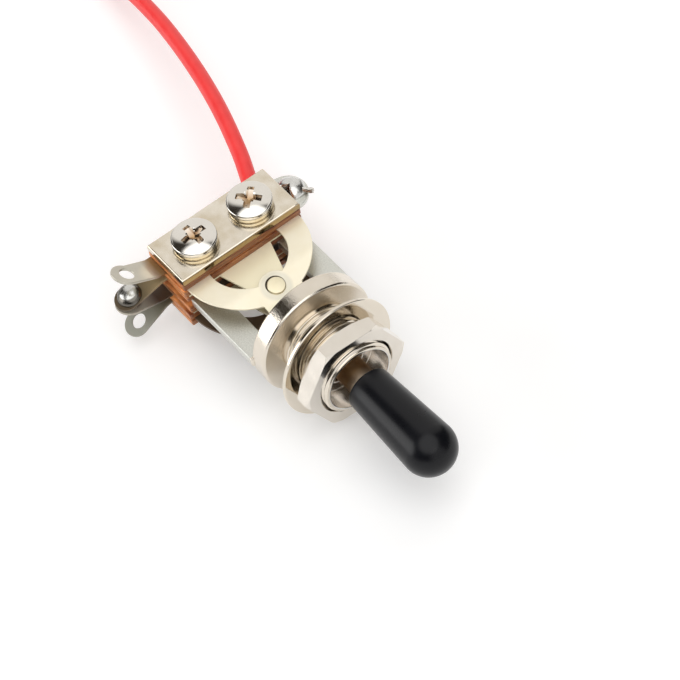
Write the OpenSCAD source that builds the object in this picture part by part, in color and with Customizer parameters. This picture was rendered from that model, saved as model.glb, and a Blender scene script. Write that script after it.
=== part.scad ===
// Three-position lever switch for a guitar's pickups, lying on its side as it rests on a bench.
// Millimetres. +X runs out along the lever, +Y along the contact stack, +Z up through the stack.
// The origin is on the bushing's axis, in the plane of the flange's front face.

/* [Bushing and flange] */
// Outside diameter of the bushing's thread
thread_d = 12; // [11:0.5:14]
// Length of the bushing in front of the flange
bushing_len = 10; // [9:0.5:14]
// Wall left round the bushing's mouth
mouth_wall = 0.8; // [0.6:0.1:1.2]
// Depth of the bushing's mouth
mouth_depth = 4; // [2:0.5:5]
// Bore behind the mouth, in which the lever rocks
guide_bore_d = 7.2; // [6.8:0.2:8]
// Diameter of the flange
flange_d = 19; // [17:0.5:22]
// Thickness of the flange
flange_t = 3; // [2.5:0.25:4]
// Rounding of the flange's rim
flange_round = 0.4; // [0.2:0.1:0.8]

/* [Frame] */
// Thickness of the rails
frame_t = 1.6; // [1.4:0.1:2.4]
// Width of each rail
rail_w = 3.9; // [3:0.1:4.5]
// Length of the rails between the flange and the contact stack
rail_len = 14.1; // [13:0.1:18]
// Fillet where a rail runs into the flange
rail_fillet = 2; // [1:0.25:3]
// Step from the end of the stack in to the side of the frame
frame_step = 0.8; // [0.4:0.1:1.5]
// Width of the earth ear
ear_w = 6.6; // [5:0.2:7.4]
// Thickness of the earth ear
ear_t = 0.8; // [0.6:0.1:1.2]
// Reach of the ear's round end past the stack
ear_reach = 2; // [1:0.25:3]

/* [Contact stack] */
// Length of the stack along the lever
stack_len = 9; // [8:0.25:12]
// Width of the stack across the lever
stack_w = 21.1; // [20:0.1:25]
// Thickness of the clamp plate
plate_t = 1.3; // [1:0.1:2]
// Thickness of each insulating sheet
insulator_t = 1; // [0.8:0.1:1.5]
// Thickness of the leaves and blades
leaf_t = 0.4; // [0.3:0.05:0.5]
// Distance between the two clamp screws
screw_spacing = 10; // [9:0.5:11]
// Diameter of the clamp screws' shanks
screw_d = 3.5; // [3:0.1:4]
// Wall of the insulating sleeves round the screws
sleeve_wall = 0.6; // [0.4:0.1:0.8]
// Diameter of the screw heads
head_d = 6.9; // [6:0.1:7.5]
// Height of the screw heads' straight rim
head_rim = 0.7; // [0.4:0.1:1]
// Height of the screw heads' dome
head_dome = 0.8; // [0.6:0.1:1.5]
// Thickness of the split washers under the heads
spring_washer_t = 0.9; // [0.7:0.1:1.2]
// Thickness of the nut bar under the stack
bar_t = 1.3; // [1:0.1:2]
// Width of the nut bar along the lever
bar_w = 7; // [6.5:0.25:8]
// Height of the clamp nuts
clamp_nut_h = 2.8; // [2.2:0.1:3.2]
// Width of the clamp nuts across their flats
clamp_nut_af = 6; // [5.5:0.5:7]
// Length of screw that stands out of the clamp nuts
screw_proud = 1; // [0.4:0.1:1.5]

/* [Leaves and contacts] */
// Outside diameter of the horseshoe leaves
horseshoe_d = 20.1; // [19:0.1:20.5]
// Diameter of the opening inside a horseshoe
opening_d = 12.2; // [11:0.1:12.6]
// Distance from the stack to the opening's centre
opening_at = 0.7; // [0.4:0.1:1.2]
// Distance from the stack to the contacts
contact_reach = 7.9; // [7.4:0.1:8.5]
// Width of the tab that the lever pushes
tab_w = 6.8; // [5:0.2:8]
// Slope of the tab towards the lever in degrees
tab_slope = 12; // [9:0.5:14]
// Gap between the tab's end and the flange
tab_gap = 1.2; // [0.8:0.1:1.6]
// Diameter of the eye that holds a contact
eye_d = 5.2; // [4.4:0.1:6]
// Width of a blade at the stack
blade_root_w = 9.2; // [8:0.2:11]
// Width of a blade at its round nose
blade_nose_w = 4.3; // [3.6:0.1:5]
// Diameter of the contact buttons
contact_d = 2.4; // [2:0.1:2.8]
// Height of the rivet heads on the outside of the leaves
contact_h = 0.4; // [0.3:0.05:0.45]
// Diameter of the rivet heads on the outside of the leaves
rivet_head_d = 2.8; // [2.4:0.1:3.2]

/* [Solder lugs] */
// Width of the lugs
lug_w = 4.2; // [3.6:0.1:5]
// Length of the lugs past their bend
lug_len = 7.2; // [6:0.2:10]
// Distance from the bend to the hole in a lug
lug_hole_at = 4.7; // [4:0.1:5]
// Diameter of the hole in a lug
lug_hole_d = 2.3; // [1.8:0.1:2.6]
// Flat length between the stack and a lug's bend
lug_flat = 1; // [0.6:0.1:2]
// Slope of the outer lugs away from the stack's middle in degrees
outer_lug_slope = 28; // [20:1:40]
// Slope of the upper middle lug in degrees
upper_middle_slope = 15; // [10:1:16]
// Slope of the lower middle lug in degrees
lower_middle_slope = 13; // [4:1:13]

/* [Lever] */
// Diameter of the lever
rod_d = 4.5; // [4:0.1:4.8]
// Distance from the flange's face to the pivot pin
pivot_at = 2; // [1.5:0.25:3]
// Diameter of the pivot pin
pin_d = 2; // [1.6:0.1:2.4]
// Diameter of the lever's inner end
tail_d = 2; // [1.6:0.1:2.4]
// Length of the insulating bead on the inner end
bead_len = 2.6; // [2:0.1:3]
// Gap between the bushing's end and the tip
tip_gap = 1.9; // [1.5:0.1:4]
// Length of the tip
tip_len = 18.2; // [16:0.2:24]
// Diameter of the tip at its base
tip_base_d = 7; // [6:0.1:8]
// Diameter of the tip at its round end
tip_end_d = 8.4; // [7:0.1:10]
// Depth of the lever's socket in the tip
tip_grip = 8; // [6:0.5:12]

/* [Nut and washer] */
// Width of the nut across its flats
nut_af = 15.4; // [15:0.1:18]
// Thickness of the nut
nut_t = 2.9; // [2.4:0.1:4]
// Length of thread that shows in front of the nut
nut_proud = 0.75; // [0.25:0.25:2]
// Overhang of the washer past the flange's rim
washer_lap = 0.25; // [0:0.05:1]
// Thickness of the washer
washer_t = 0.6; // [0.5:0.1:1]
// Gap between the washer and the nut
washer_gap = 1.5; // [1:0.1:3]

/* [Earth lead] */
// Outside diameter of the lead
lead_d = 2.5; // [1.6:0.1:2.6]
// Diameter of the lead's bare core
core_d = 0.9; // [0.6:0.1:1.1]

/* [Hidden] */
$fn = 64;

// Named clearances
thread_gap = 0.05;
pin_gap = 0.05;
screw_gap = 0.1;
sleeve_gap = 0.1;
rivet_gap = 0.05;
contact_gap = 0.08;
bead_gap = 0.3;
tip_fit = 0.02;
washer_play = 0.3;

// Levels of the contact stack, counted up from the middle of the frame
frame_top = frame_t / 2;
blade_z = frame_top + insulator_t;
blade_mid = blade_z + leaf_t / 2;
leaf_z = blade_z + leaf_t + insulator_t;
leaf_mid = leaf_z + leaf_t / 2;
plate_z = leaf_z + leaf_t + insulator_t;
plate_top = plate_z + plate_t;
bar_bottom = -plate_z - bar_t;
screw_end = bar_bottom - clamp_nut_h - screw_proud;
head_z = plate_top + spring_washer_t;
head_top = head_z + head_rim + head_dome;

// Places along the lever
flange_back = -flange_t;
stack_front = flange_back - rail_len;
stack_back = stack_front - stack_len;
stack_mid = (stack_front + stack_back) / 2;
tab_end = flange_back - tab_gap;
contact_x = stack_front + contact_reach;
bend_lead = 1.9;
bend_x = contact_x - bend_lead;
bead_x = tab_end - bead_len / 2;
tip_base_x = bushing_len + tip_gap;
nut_x = bushing_len - nut_proud - nut_t;
washer_x = nut_x - washer_gap - washer_t;
washer_d = flange_d + 2 * washer_lap;

// Outline of the frame
frame_w = stack_w - 2 * frame_step;
window_half = frame_w / 2 - rail_w;
frame_inset = 0.4;
rail_root = 0.5;
bridge_step = 1.2;
rail_lap = 0.5;

// Places of the lugs and of the earth ear
lug_inset = 0.05;
lug_x = stack_back + lug_inset + lug_w / 2;
lug_bend_y = -stack_w / 2 - lug_flat;
ear_shift = -0.3;
ear_x = lug_x + ear_shift;
ear_y = stack_w / 2 + ear_reach;
ear_top = ear_t - frame_top;

// Slope of the lower middle lug, held back so that its end stays clear of the upper one
lug_ends_apart = 2 * blade_mid - lug_len * sin(upper_middle_slope) - 1.25 * leaf_t;
lower_lug_slope = min(lower_middle_slope, asin(lug_ends_apart / lug_len));

// Bores and bodies that go together in the stack
sleeve_id = screw_d + 2 * screw_gap;
sleeve_od = sleeve_id + 2 * sleeve_wall;
stack_hole_d = sleeve_od + 2 * sleeve_gap;
leaf_inset = 0.3;
rivet_d = 1.2;
rivet_hole_d = rivet_d + 2 * rivet_gap;

// Underside of the tab over the bead, and the bead that just clears it
tab_under = leaf_mid - (bead_x - bend_x) * tan(tab_slope) - leaf_t / 2 / cos(tab_slope);
bead_d = 2 * (tab_under * cos(tab_slope) - bead_gap);

// Space between a leaf's eye and its blade, shared by the two contacts that meet there
eye_under = leaf_mid - bend_lead * sin(tab_slope) - leaf_t / 2 * cos(tab_slope);
facing_h = (eye_under - blade_z - leaf_t - contact_gap - rivet_gap) / 2;

// Small edges and turns
thread_chamfer = 0.4;
nut_chamfer = 0.35;
nut_back_edge = 0.05;
nut_turn = 27;
washer_lean = [0, -1.9, 2.7];
screw_turns = [-48, -3];
recess_len = 3.8;
recess_w = 0.8;
recess_depth = 0.8 * (head_rim + head_dome);
pit_d = 1.3;
split_w = 0.7;
split_turn = 145;
spring_washer_step = 0.15;
spring_washer_d = head_d - 2 * spring_washer_step;
bar_overhang = 4.3;
pin_recess = 0.5;
past = 1;

// Route of the core from the lead to the ear, and of the lead along the bench
core_route = [
    [-28.6, 9.3, 0.3], [-27.6, 9.6, 0.4], [-27.1, 10.8, 0.45], [-26, 12.1, 0.45],
    [-24.6, 13.2, 0.45], [-23, 14.3, 0.45], [-21.4, 15.5, 0.6]
];
lead_route = [
    [-28.6, 9.3, 0.3], [-31, 10.3, 0.2], [-34.2, 11.6, 0.1], [-38, 12.9, 0], [-42, 14.2, -0.3],
    [-46.5, 15.5, -0.7], [-51.3, 16.7, -1.2], [-56.4, 17.8, -1.8], [-61.8, 18.8, -2.5],
    [-67.3, 19.6, -3.2], [-73, 20.1, -4], [-78, 20.4, -4.9], [-83, 20.5, -5.9], [-88, 20.4, -6.9],
    [-93, 20.1, -7.8], [-98, 19.7, -8.2], [-103, 19.2, -8.4], [-108, 18.6, -8.4]
];
end_route = [[-108, 18.6, -8.4], [-111, 18.2, -8.4], [-114, 17.7, -8.4]];

// Colours as they look in daylight
zinc = [0.80, 0.80, 0.77];
nickel = [0.83, 0.80, 0.74];
brass_leaf = [0.93, 0.89, 0.78];
phenolic = [0.66, 0.36, 0.17];
solder_grey = [0.78, 0.78, 0.76];
silver = [0.88, 0.87, 0.84];

// Turned work is drawn along Z and laid along X
module along_x() {
    rotate([0, 90, 0]) children();
}

// Two copies, one at each clamp screw
module at_screws() {
    for (side = [-1, 1])
        translate([stack_mid, side * screw_spacing / 2, 0]) children();
}

// Half section of a disc with a rounded rim, for turning
module disc_section(r, low, high, round) {
    translate([0, low]) square([r - round, high - low]);
    translate([0, low + round]) square([r, high - low - 2 * round]);
    for (level = [low + round, high - round])
        translate([r - round, level]) circle(r = round);
}

// Round cap of a ball, flat side down
function ball_r(d, h) = (d * d / 4 + h * h) / (2 * h);

module cap(d, h) {
    ball = ball_r(d, h);
    rotate_extrude() intersection() {
        translate([0, h - ball]) circle(r = ball, $fn = 240);
        square([d / 2 + past, h + past]);
    }
}

// Tube swept along a route: one ring of points at each stop, upright in every ring
function unit(v) = v / norm(v);
function heading(route, i) = unit(route[min(i + 1, len(route) - 1)] - route[max(i - 1, 0)]);
function ring(route, i, r, sides) =
    let (t = heading(route, i), side = unit(cross(t, [0, 0, 1])), up = cross(side, t))
    [for (k = [0:sides - 1]) route[i] + r * (cos(360 * k / sides) * side + sin(360 * k / sides) * up)];

module tube(route, d, sides = 8) {
    last = len(route) - 1;
    points = [for (i = [0:last]) each ring(route, i, d / 2, sides)];
    walls = [
        for (i = [0:last - 1], k = [0:sides - 1])
            let (a = i * sides + k, b = i * sides + (k + 1) % sides)
            each [[a, b, b + sides], [a, b + sides, a + sides]]
    ];
    near_end = [for (k = [sides - 1:-1:0]) k];
    far_end = [for (k = [0:sides - 1]) last * sides + k];
    polyhedron(points, concat([near_end], walls, [far_end]));
}

// Frame casting: threaded bushing, flange, rails, rear bridge and earth ear in one piece
module frame_window() {
    translate([stack_front, -window_half]) square([rail_len - rail_fillet, 2 * window_half]);
    translate([stack_front, rail_fillet - window_half])
        square([rail_len, 2 * (window_half - rail_fillet)]);
    for (side = [-1, 1])
        translate([flange_back - rail_fillet, side * (window_half - rail_fillet)])
            circle(r = rail_fillet);
}

module frame_plate() {
    translate([0, 0, -frame_top]) linear_extrude(frame_t) difference() {
        translate([stack_back + frame_inset, -frame_w / 2])
            square([flange_back + rail_root - stack_back - frame_inset, frame_w]);
        frame_window();
        translate([stack_back, -frame_w / 2 - past]) square([stack_len - rail_lap, bridge_step + past]);
    }
    translate([0, 0, -frame_top]) linear_extrude(ear_t) {
        translate([ear_x - ear_w / 2, frame_w / 2 - past]) square([ear_w, ear_y - frame_w / 2 + past]);
        translate([ear_x, ear_y]) circle(d = ear_w);
    }
}

module bushing_and_flange() {
    along_x() {
        rotate_extrude() disc_section(flange_d / 2, flange_back, 0, flange_round);
        translate([0, 0, flange_back / 2])
            cylinder(d = thread_d, h = bushing_len - thread_chamfer - flange_back / 2);
        translate([0, 0, bushing_len - thread_chamfer])
            cylinder(d1 = thread_d, d2 = thread_d - 2 * thread_chamfer, h = thread_chamfer);
    }
}

module cast_frame() {
    color(zinc) difference() {
        union() {
            bushing_and_flange();
            frame_plate();
        }
        along_x() {
            translate([0, 0, flange_back - past])
                cylinder(d = guide_bore_d, h = bushing_len - flange_back + 2 * past);
            translate([0, 0, bushing_len - mouth_depth])
                cylinder(d = thread_d - 2 * mouth_wall, h = mouth_depth + past);
        }
        translate([pivot_at, 0, 0]) rotate([90, 0, 0])
            cylinder(d = pin_d, h = flange_d, center = true);
        at_screws() cylinder(d = stack_hole_d, h = frame_t + past, center = true);
        translate([ear_x, ear_y, -frame_top - past])
            cylinder(d = lug_hole_d, h = ear_t + 2 * past);
    }
}

// Pin across the bushing, pressed into the casting
module pivot_pin() {
    color(silver) translate([pivot_at, 0, 0]) rotate([90, 0, 0])
        cylinder(d = pin_d, h = thread_d - 2 * pin_recess, center = true);
}

// Lever: stout rod in front of the pivot, thin tail behind it
module lever() {
    shoulder_back = 3;
    shoulder = pivot_at - shoulder_back;
    taper = 1.6;
    color(nickel) difference() {
        along_x() {
            translate([0, 0, shoulder]) cylinder(d = rod_d, h = tip_base_x + tip_grip - shoulder);
            translate([0, 0, shoulder - taper]) cylinder(d1 = tail_d, d2 = rod_d, h = taper);
            translate([0, 0, bead_x - bead_len / 2])
                cylinder(d = tail_d, h = shoulder - bead_x + bead_len / 2);
        }
        translate([pivot_at, 0, 0]) rotate([90, 0, 0])
            cylinder(d = pin_d + 2 * pin_gap, h = rod_d + 2 * past, center = true);
    }
}

// Insulating bead on the tail, which lifts one leaf or the other
module lever_bead() {
    color("ivory") translate([bead_x, 0, 0]) along_x() difference() {
        intersection() {
            sphere(d = bead_d);
            cylinder(d = bead_d + past, h = bead_len, center = true);
        }
        cylinder(d = tail_d + 2 * tip_fit, h = bead_d + past, center = true);
    }
}

// Moulded tip, a slim cone with a round end
module lever_tip() {
    cone_len = tip_len - tip_end_d / 2;
    base_edge = 0.3;
    color([0.11, 0.11, 0.12]) translate([tip_base_x, 0, 0]) along_x() difference() {
        union() {
            cylinder(d1 = tip_base_d - 2 * base_edge, d2 = tip_base_d, h = base_edge);
            translate([0, 0, base_edge])
                cylinder(d1 = tip_base_d, d2 = tip_end_d, h = cone_len - base_edge);
            translate([0, 0, cone_len]) sphere(d = tip_end_d);
        }
        translate([0, 0, -past])
            cylinder(d = rod_d + 2 * tip_fit, h = tip_grip + tip_fit + past);
    }
}

// Flat washer, loose on the thread and leaning a little
module panel_washer() {
    edge = washer_t / 4;
    color(nickel) translate([washer_x, 0, 0]) rotate(washer_lean) along_x() difference() {
        rotate_extrude() disc_section(washer_d / 2, 0, washer_t, edge);
        translate([0, 0, -past]) cylinder(d = thread_d + 2 * washer_play, h = washer_t + 2 * past);
    }
}

// Thin hexagon nut on the thread, its corners chamfered at both ends
module hex_nut() {
    corner_r = nut_af / 2 / cos(30);
    front_r = corner_r - nut_chamfer / tan(30);
    back_r = nut_af / 2 + nut_back_edge;
    clear_r = corner_r + past / 2;
    color(nickel) translate([nut_x, 0, 0]) along_x() difference() {
        intersection() {
            rotate(nut_turn) cylinder(r = corner_r, h = nut_t, $fn = 6);
            rotate_extrude() polygon([
                [0, 0], [back_r, 0], [clear_r, (clear_r - back_r) * tan(30)],
                [clear_r, nut_t - (clear_r - front_r) * tan(30)], [front_r, nut_t], [0, nut_t]
            ]);
        }
        translate([0, 0, -past]) cylinder(d = thread_d + 2 * thread_gap, h = nut_t + 2 * past);
        translate([0, 0, nut_t - nut_chamfer]) cylinder(
            d1 = thread_d, d2 = thread_d + 2 * nut_chamfer + 4 * thread_gap,
            h = nut_chamfer + thread_gap
        );
    }
}

// Insulating sheets of the stack, counted from the top
module insulator(low) {
    color(phenolic) translate([stack_mid, 0, low]) linear_extrude(insulator_t) difference() {
        square([stack_len, stack_w], center = true);
        for (side = [-1, 1])
            translate([0, side * screw_spacing / 2]) circle(d = stack_hole_d);
    }
}

module insulator_1() {
    insulator(plate_z - insulator_t);
}

module insulator_2() {
    insulator(leaf_z - insulator_t);
}

module insulator_3() {
    insulator(frame_top);
}

module insulator_4() {
    insulator(-blade_z);
}

module insulator_5() {
    insulator(-leaf_z);
}

module insulator_6() {
    insulator(-plate_z);
}

// Clamped pad that every leaf and blade shares, with the strip that runs out to its lug
module clamped_pad() {
    difference() {
        union() {
            translate([stack_back + leaf_inset, -horseshoe_d / 2])
                square([stack_len - leaf_inset, horseshoe_d]);
            translate([lug_x - lug_w / 2 + leaf_inset, lug_bend_y])
                square([lug_w - leaf_inset, -horseshoe_d / 2 - lug_bend_y + past]);
        }
        for (side = [-1, 1])
            translate([stack_mid, side * screw_spacing / 2]) circle(d = stack_hole_d);
    }
}

// Solder lug, bent up or down at the end of its strip
module lug(level, slope) {
    straight = lug_len - lug_w / 2;
    translate([lug_x, lug_bend_y, level]) rotate([-slope, 0, 0]) {
        translate([0, 0, -leaf_t / 2]) linear_extrude(leaf_t) difference() {
            union() {
                translate([leaf_inset - lug_w / 2, -straight]) square([lug_w - leaf_inset, straight]);
                translate([0, -straight]) circle(d = lug_w);
            }
            translate([0, -lug_hole_at]) circle(d = lug_hole_d);
        }
        translate([leaf_inset - lug_w / 2, 0, 0]) rotate([0, 90, 0])
            cylinder(d = leaf_t, h = lug_w - leaf_inset);
    }
}

// Horseshoe leaf: a half ring in front of the stack, an eye and a tab that slopes to the lever
module horseshoe_plan() {
    difference() {
        union() {
            intersection() {
                difference() {
                    translate([stack_front, 0]) circle(d = horseshoe_d);
                    translate([stack_front + opening_at, 0]) circle(d = opening_d);
                }
                translate([stack_front - past, -horseshoe_d]) square([2 * horseshoe_d, 2 * horseshoe_d]);
            }
            translate([contact_x, 0]) circle(d = eye_d);
            translate([contact_x, -tab_w / 2]) square([tab_end - contact_x, tab_w]);
        }
        translate([contact_x, 0]) circle(d = rivet_hole_d);
    }
}

module on_tab_slope() {
    translate([bend_x, 0, leaf_mid]) rotate([0, tab_slope, 0]) translate([-bend_x, 0, 0]) children();
}

module spring_leaf() {
    color(brass_leaf) {
        translate([0, 0, leaf_z]) linear_extrude(leaf_t) {
            clamped_pad();
            difference() {
                horseshoe_plan();
                translate([bend_x, -horseshoe_d]) square(2 * horseshoe_d);
            }
        }
        on_tab_slope() translate([0, 0, -leaf_t / 2]) linear_extrude(leaf_t) intersection() {
            horseshoe_plan();
            translate([bend_x, -horseshoe_d]) square(2 * horseshoe_d);
        }
        intersection() {
            translate([bend_x, 0, leaf_mid]) rotate([90, 0, 0])
                cylinder(d = leaf_t, h = horseshoe_d, center = true);
            translate([0, 0, leaf_z - leaf_t]) linear_extrude(3 * leaf_t) horseshoe_plan();
        }
        lug(leaf_mid, outer_lug_slope);
    }
}

// Contact rivet of a leaf: round head on top, contact dome below
module spring_contact() {
    seat = leaf_t / 2 + rivet_gap;
    color(silver) on_tab_slope() translate([contact_x, 0, 0]) {
        translate([0, 0, seat]) cap(rivet_head_d, contact_h);
        translate([0, 0, -seat]) cylinder(d = rivet_d, h = 2 * seat);
        translate([0, 0, -seat]) mirror([0, 0, 1]) cap(contact_d, facing_h);
    }
}

// Blade: a tapered tongue inside the horseshoe, with a contact at its round nose
module blade(lug_slope) {
    color(brass_leaf) {
        translate([0, 0, blade_z]) linear_extrude(leaf_t) {
            clamped_pad();
            difference() {
                union() {
                    polygon([
                        [stack_front - past, -blade_root_w / 2], [stack_front, -blade_root_w / 2],
                        [contact_x, -blade_nose_w / 2], [contact_x, blade_nose_w / 2],
                        [stack_front, blade_root_w / 2], [stack_front - past, blade_root_w / 2]
                    ]);
                    translate([contact_x, 0]) circle(d = blade_nose_w);
                }
                translate([contact_x, 0]) circle(d = rivet_hole_d);
            }
        }
        lug(blade_mid, lug_slope);
    }
}

// Contact rivet of a blade, its button facing the leaf
module blade_contact() {
    color(silver) translate([contact_x, 0, blade_z]) {
        cylinder(d = rivet_d, h = leaf_t);
        translate([0, 0, leaf_t]) cap(contact_d, facing_h);
    }
}

module upper_spring_leaf() {
    spring_leaf();
}

module upper_spring_contact() {
    spring_contact();
}

module upper_blade() {
    blade(-upper_middle_slope);
}

module upper_blade_contact() {
    blade_contact();
}

module lower_blade() {
    mirror([0, 0, 1]) blade(-lower_lug_slope);
}

module lower_blade_contact() {
    mirror([0, 0, 1]) blade_contact();
}

module lower_spring_leaf() {
    mirror([0, 0, 1]) spring_leaf();
}

module lower_spring_contact() {
    mirror([0, 0, 1]) spring_contact();
}

// Insulating sleeves that keep the screws off the leaves
module screw_sleeves() {
    color("tan") at_screws() difference() {
        cylinder(d = sleeve_od, h = 2 * plate_z, center = true);
        cylinder(d = sleeve_id, h = 2 * plate_z + past, center = true);
    }
}

// Plate on top of the stack and bar below it
module clamp_plate() {
    color(nickel) translate([stack_mid, 0, plate_z]) linear_extrude(plate_t) difference() {
        square([stack_len, stack_w], center = true);
        for (side = [-1, 1])
            translate([0, side * screw_spacing / 2]) circle(d = sleeve_id);
    }
}

module nut_bar() {
    color(nickel) translate([stack_mid, 0, bar_bottom]) linear_extrude(bar_t) difference() {
        square([bar_w, screw_spacing + 2 * bar_overhang], center = true);
        for (side = [-1, 1])
            translate([0, side * screw_spacing / 2]) circle(d = sleeve_id);
    }
}

// Split washers, pan-head screws with cross recesses, and the nuts below
module spring_washers() {
    color(silver) at_screws() translate([0, 0, plate_top]) difference() {
        cylinder(d = spring_washer_d, h = spring_washer_t);
        translate([0, 0, -past]) cylinder(d = sleeve_id, h = spring_washer_t + 2 * past);
        rotate(split_turn) translate([0, -split_w / 2, -past])
            cube([spring_washer_d, split_w, spring_washer_t + 2 * past]);
    }
}

module clamp_screw() {
    ball = ball_r(head_d, head_dome);
    difference() {
        union() {
            translate([0, 0, screw_end]) cylinder(d = screw_d, h = head_z + head_rim / 2 - screw_end);
            intersection() {
                translate([0, 0, head_z]) cylinder(d = head_d, h = head_rim + head_dome + past);
                translate([0, 0, head_top - ball]) sphere(r = ball, $fn = 160);
            }
        }
        translate([0, 0, head_top - recess_depth]) {
            for (arm = [45, 135])
                rotate(arm) translate([-recess_len / 2, -recess_w / 2, 0])
                    cube([recess_len, recess_w, recess_depth + past]);
            cylinder(d1 = pit_d, d2 = 2 * pit_d, h = recess_depth + past);
        }
    }
}

module clamp_screws() {
    color(nickel) for (k = [0, 1])
        translate([stack_mid, (2 * k - 1) * screw_spacing / 2, 0])
            rotate(screw_turns[k]) clamp_screw();
}

module clamp_nuts() {
    color(silver) at_screws() translate([0, 0, bar_bottom - clamp_nut_h]) difference() {
        cylinder(d = clamp_nut_af / cos(30), h = clamp_nut_h, $fn = 6);
        translate([0, 0, -past]) cylinder(d = screw_d + 2 * thread_gap, h = clamp_nut_h + 2 * past);
    }
}

// Solder that joins the two middle lugs, run through both holes
module lug_solder() {
    lap = 0.8;
    rise = 1.2;
    span = 2 * blade_mid - lug_hole_at * (sin(upper_middle_slope) + sin(lower_lug_slope)) + leaf_t;
    color(solder_grey) translate([lug_x, lug_bend_y, blade_mid]) rotate([upper_middle_slope, 0, 0])
        translate([0, -lug_hole_at, leaf_t / 2]) {
            cap(lug_hole_d + 2 * lap, rise);
            translate([0, 0, -span]) cylinder(d = lug_hole_d, h = span);
        }
}

// Solder dome on the earth ear, over the end of the core
module ear_solder() {
    rim = 1;
    rise = 1.5;
    shift = 0.9;
    color(solder_grey) translate([ear_x, ear_y + shift, ear_top]) cap(ear_w - 2 * rim, rise);
}

// Bare core at the ear, red lead along the bench and its tinned far end
module ear_wire() {
    color(solder_grey) tube(core_route, core_d);
}

module red_lead() {
    color([0.92, 0.16, 0.17]) tube(lead_route, lead_d);
}

module lead_end() {
    color(solder_grey) tube(end_route, core_d);
}

cast_frame();
pivot_pin();
lever();
lever_bead();
lever_tip();
panel_washer();
hex_nut();
insulator_1();
insulator_2();
insulator_3();
insulator_4();
insulator_5();
insulator_6();
upper_spring_leaf();
upper_spring_contact();
upper_blade();
upper_blade_contact();
lower_blade();
lower_blade_contact();
lower_spring_leaf();
lower_spring_contact();
screw_sleeves();
clamp_plate();
nut_bar();
spring_washers();
clamp_screws();
clamp_nuts();
lug_solder();
ear_solder();
ear_wire();
red_lead();
lead_end();
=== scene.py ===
"""Guitar pickup selector switch lying on a white bench, dressed over its packed construction model."""

import bmesh
import bpy
import numpy as np
from mathutils import Matrix, Vector
from mathutils.geometry import delaunay_2d_cdt


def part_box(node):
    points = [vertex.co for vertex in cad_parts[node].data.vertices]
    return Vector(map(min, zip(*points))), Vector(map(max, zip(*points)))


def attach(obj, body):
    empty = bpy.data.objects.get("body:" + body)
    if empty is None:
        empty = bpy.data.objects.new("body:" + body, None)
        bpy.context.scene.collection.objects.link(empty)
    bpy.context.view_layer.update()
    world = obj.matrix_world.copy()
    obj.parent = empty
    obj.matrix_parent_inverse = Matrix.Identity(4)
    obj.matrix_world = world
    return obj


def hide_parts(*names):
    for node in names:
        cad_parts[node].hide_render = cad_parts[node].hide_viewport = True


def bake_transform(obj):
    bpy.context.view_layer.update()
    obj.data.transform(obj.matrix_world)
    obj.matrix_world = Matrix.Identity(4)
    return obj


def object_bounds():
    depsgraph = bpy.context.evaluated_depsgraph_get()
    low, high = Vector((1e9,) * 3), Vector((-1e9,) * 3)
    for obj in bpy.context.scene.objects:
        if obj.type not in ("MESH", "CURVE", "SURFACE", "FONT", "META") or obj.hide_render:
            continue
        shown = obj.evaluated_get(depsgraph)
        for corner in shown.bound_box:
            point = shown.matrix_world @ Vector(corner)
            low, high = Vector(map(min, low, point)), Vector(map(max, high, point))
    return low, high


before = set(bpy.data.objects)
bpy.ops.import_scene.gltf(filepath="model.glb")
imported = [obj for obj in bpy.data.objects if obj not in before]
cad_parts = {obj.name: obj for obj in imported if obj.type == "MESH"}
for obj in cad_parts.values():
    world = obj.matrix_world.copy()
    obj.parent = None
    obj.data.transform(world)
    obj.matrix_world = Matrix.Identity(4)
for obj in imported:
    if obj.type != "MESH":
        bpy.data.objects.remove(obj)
cad_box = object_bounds()
MM = 0.001

# Camera: a long lens that looks down on the switch from the lever's end, rolled in its frame.
# Its three directions are the picture's right, down and forward in the switch's own axes.
# Place and focal length put the bushing's axis where the photograph has it.
picture_px = 680
focal_px = 4000
camera_at = np.array([306.47, -159.37, 455.96]) * MM
picture_right = np.array([0.60198, 0.78918, -0.12174])
picture_down = np.array([0.59551, -0.54526, -0.58998])
forward = np.array([-0.53197, 0.28266, -0.79819])
lens = bpy.data.cameras.new("camera")
lens.sensor_width = 36
lens.lens = lens.sensor_width * focal_px / picture_px
lens.clip_end = 100
camera = bpy.data.objects.new("camera", lens)
camera_axes = np.column_stack([picture_right, -picture_down, -forward, camera_at])
camera.matrix_world = Matrix(np.vstack([camera_axes, [0, 0, 0, 1]]).tolist())
bpy.context.scene.collection.objects.link(camera)
bpy.context.scene.camera = camera

# Earth lead: stranded tinned copper in a red vinyl jacket, soldered to the frame's ear at one end.
# The jacket is extruded round the strands and stripped at both ends; the lead drops to the bench
# behind the switch and ends in a short tinned tail.
lead_d = 2.5
core_d = 0.9
strand_d = 0.3
strand_twist = 4.2
flux_start, flux_end = -26.5, -23.2
lead_stops = np.array([
    [-28.6, 9.3, 0.3], [-31, 10.3, 0.2], [-34.2, 11.6, 0.1], [-38, 12.9, 0], [-42, 14.2, -0.3],
    [-46.5, 15.5, -0.7], [-51.3, 16.7, -1.2], [-56.4, 17.8, -1.8], [-61.8, 18.8, -2.5],
    [-67.3, 19.6, -3.2], [-73, 20.1, -4], [-78, 20.4, -4.9], [-83, 20.5, -5.9], [-88, 20.4, -6.9],
    [-93, 20.1, -7.8], [-98, 19.7, -8.2], [-103, 19.2, -8.4], [-108, 18.6, -8.4],
])
core_stops = np.array([
    [-28.6, 9.3, 0.3], [-27.6, 9.6, 0.4], [-27.1, 10.8, 0.45], [-26, 12.1, 0.45],
    [-24.6, 13.2, 0.45], [-23, 14.3, 0.45], [-21.4, 15.5, 0.6],
])
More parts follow.
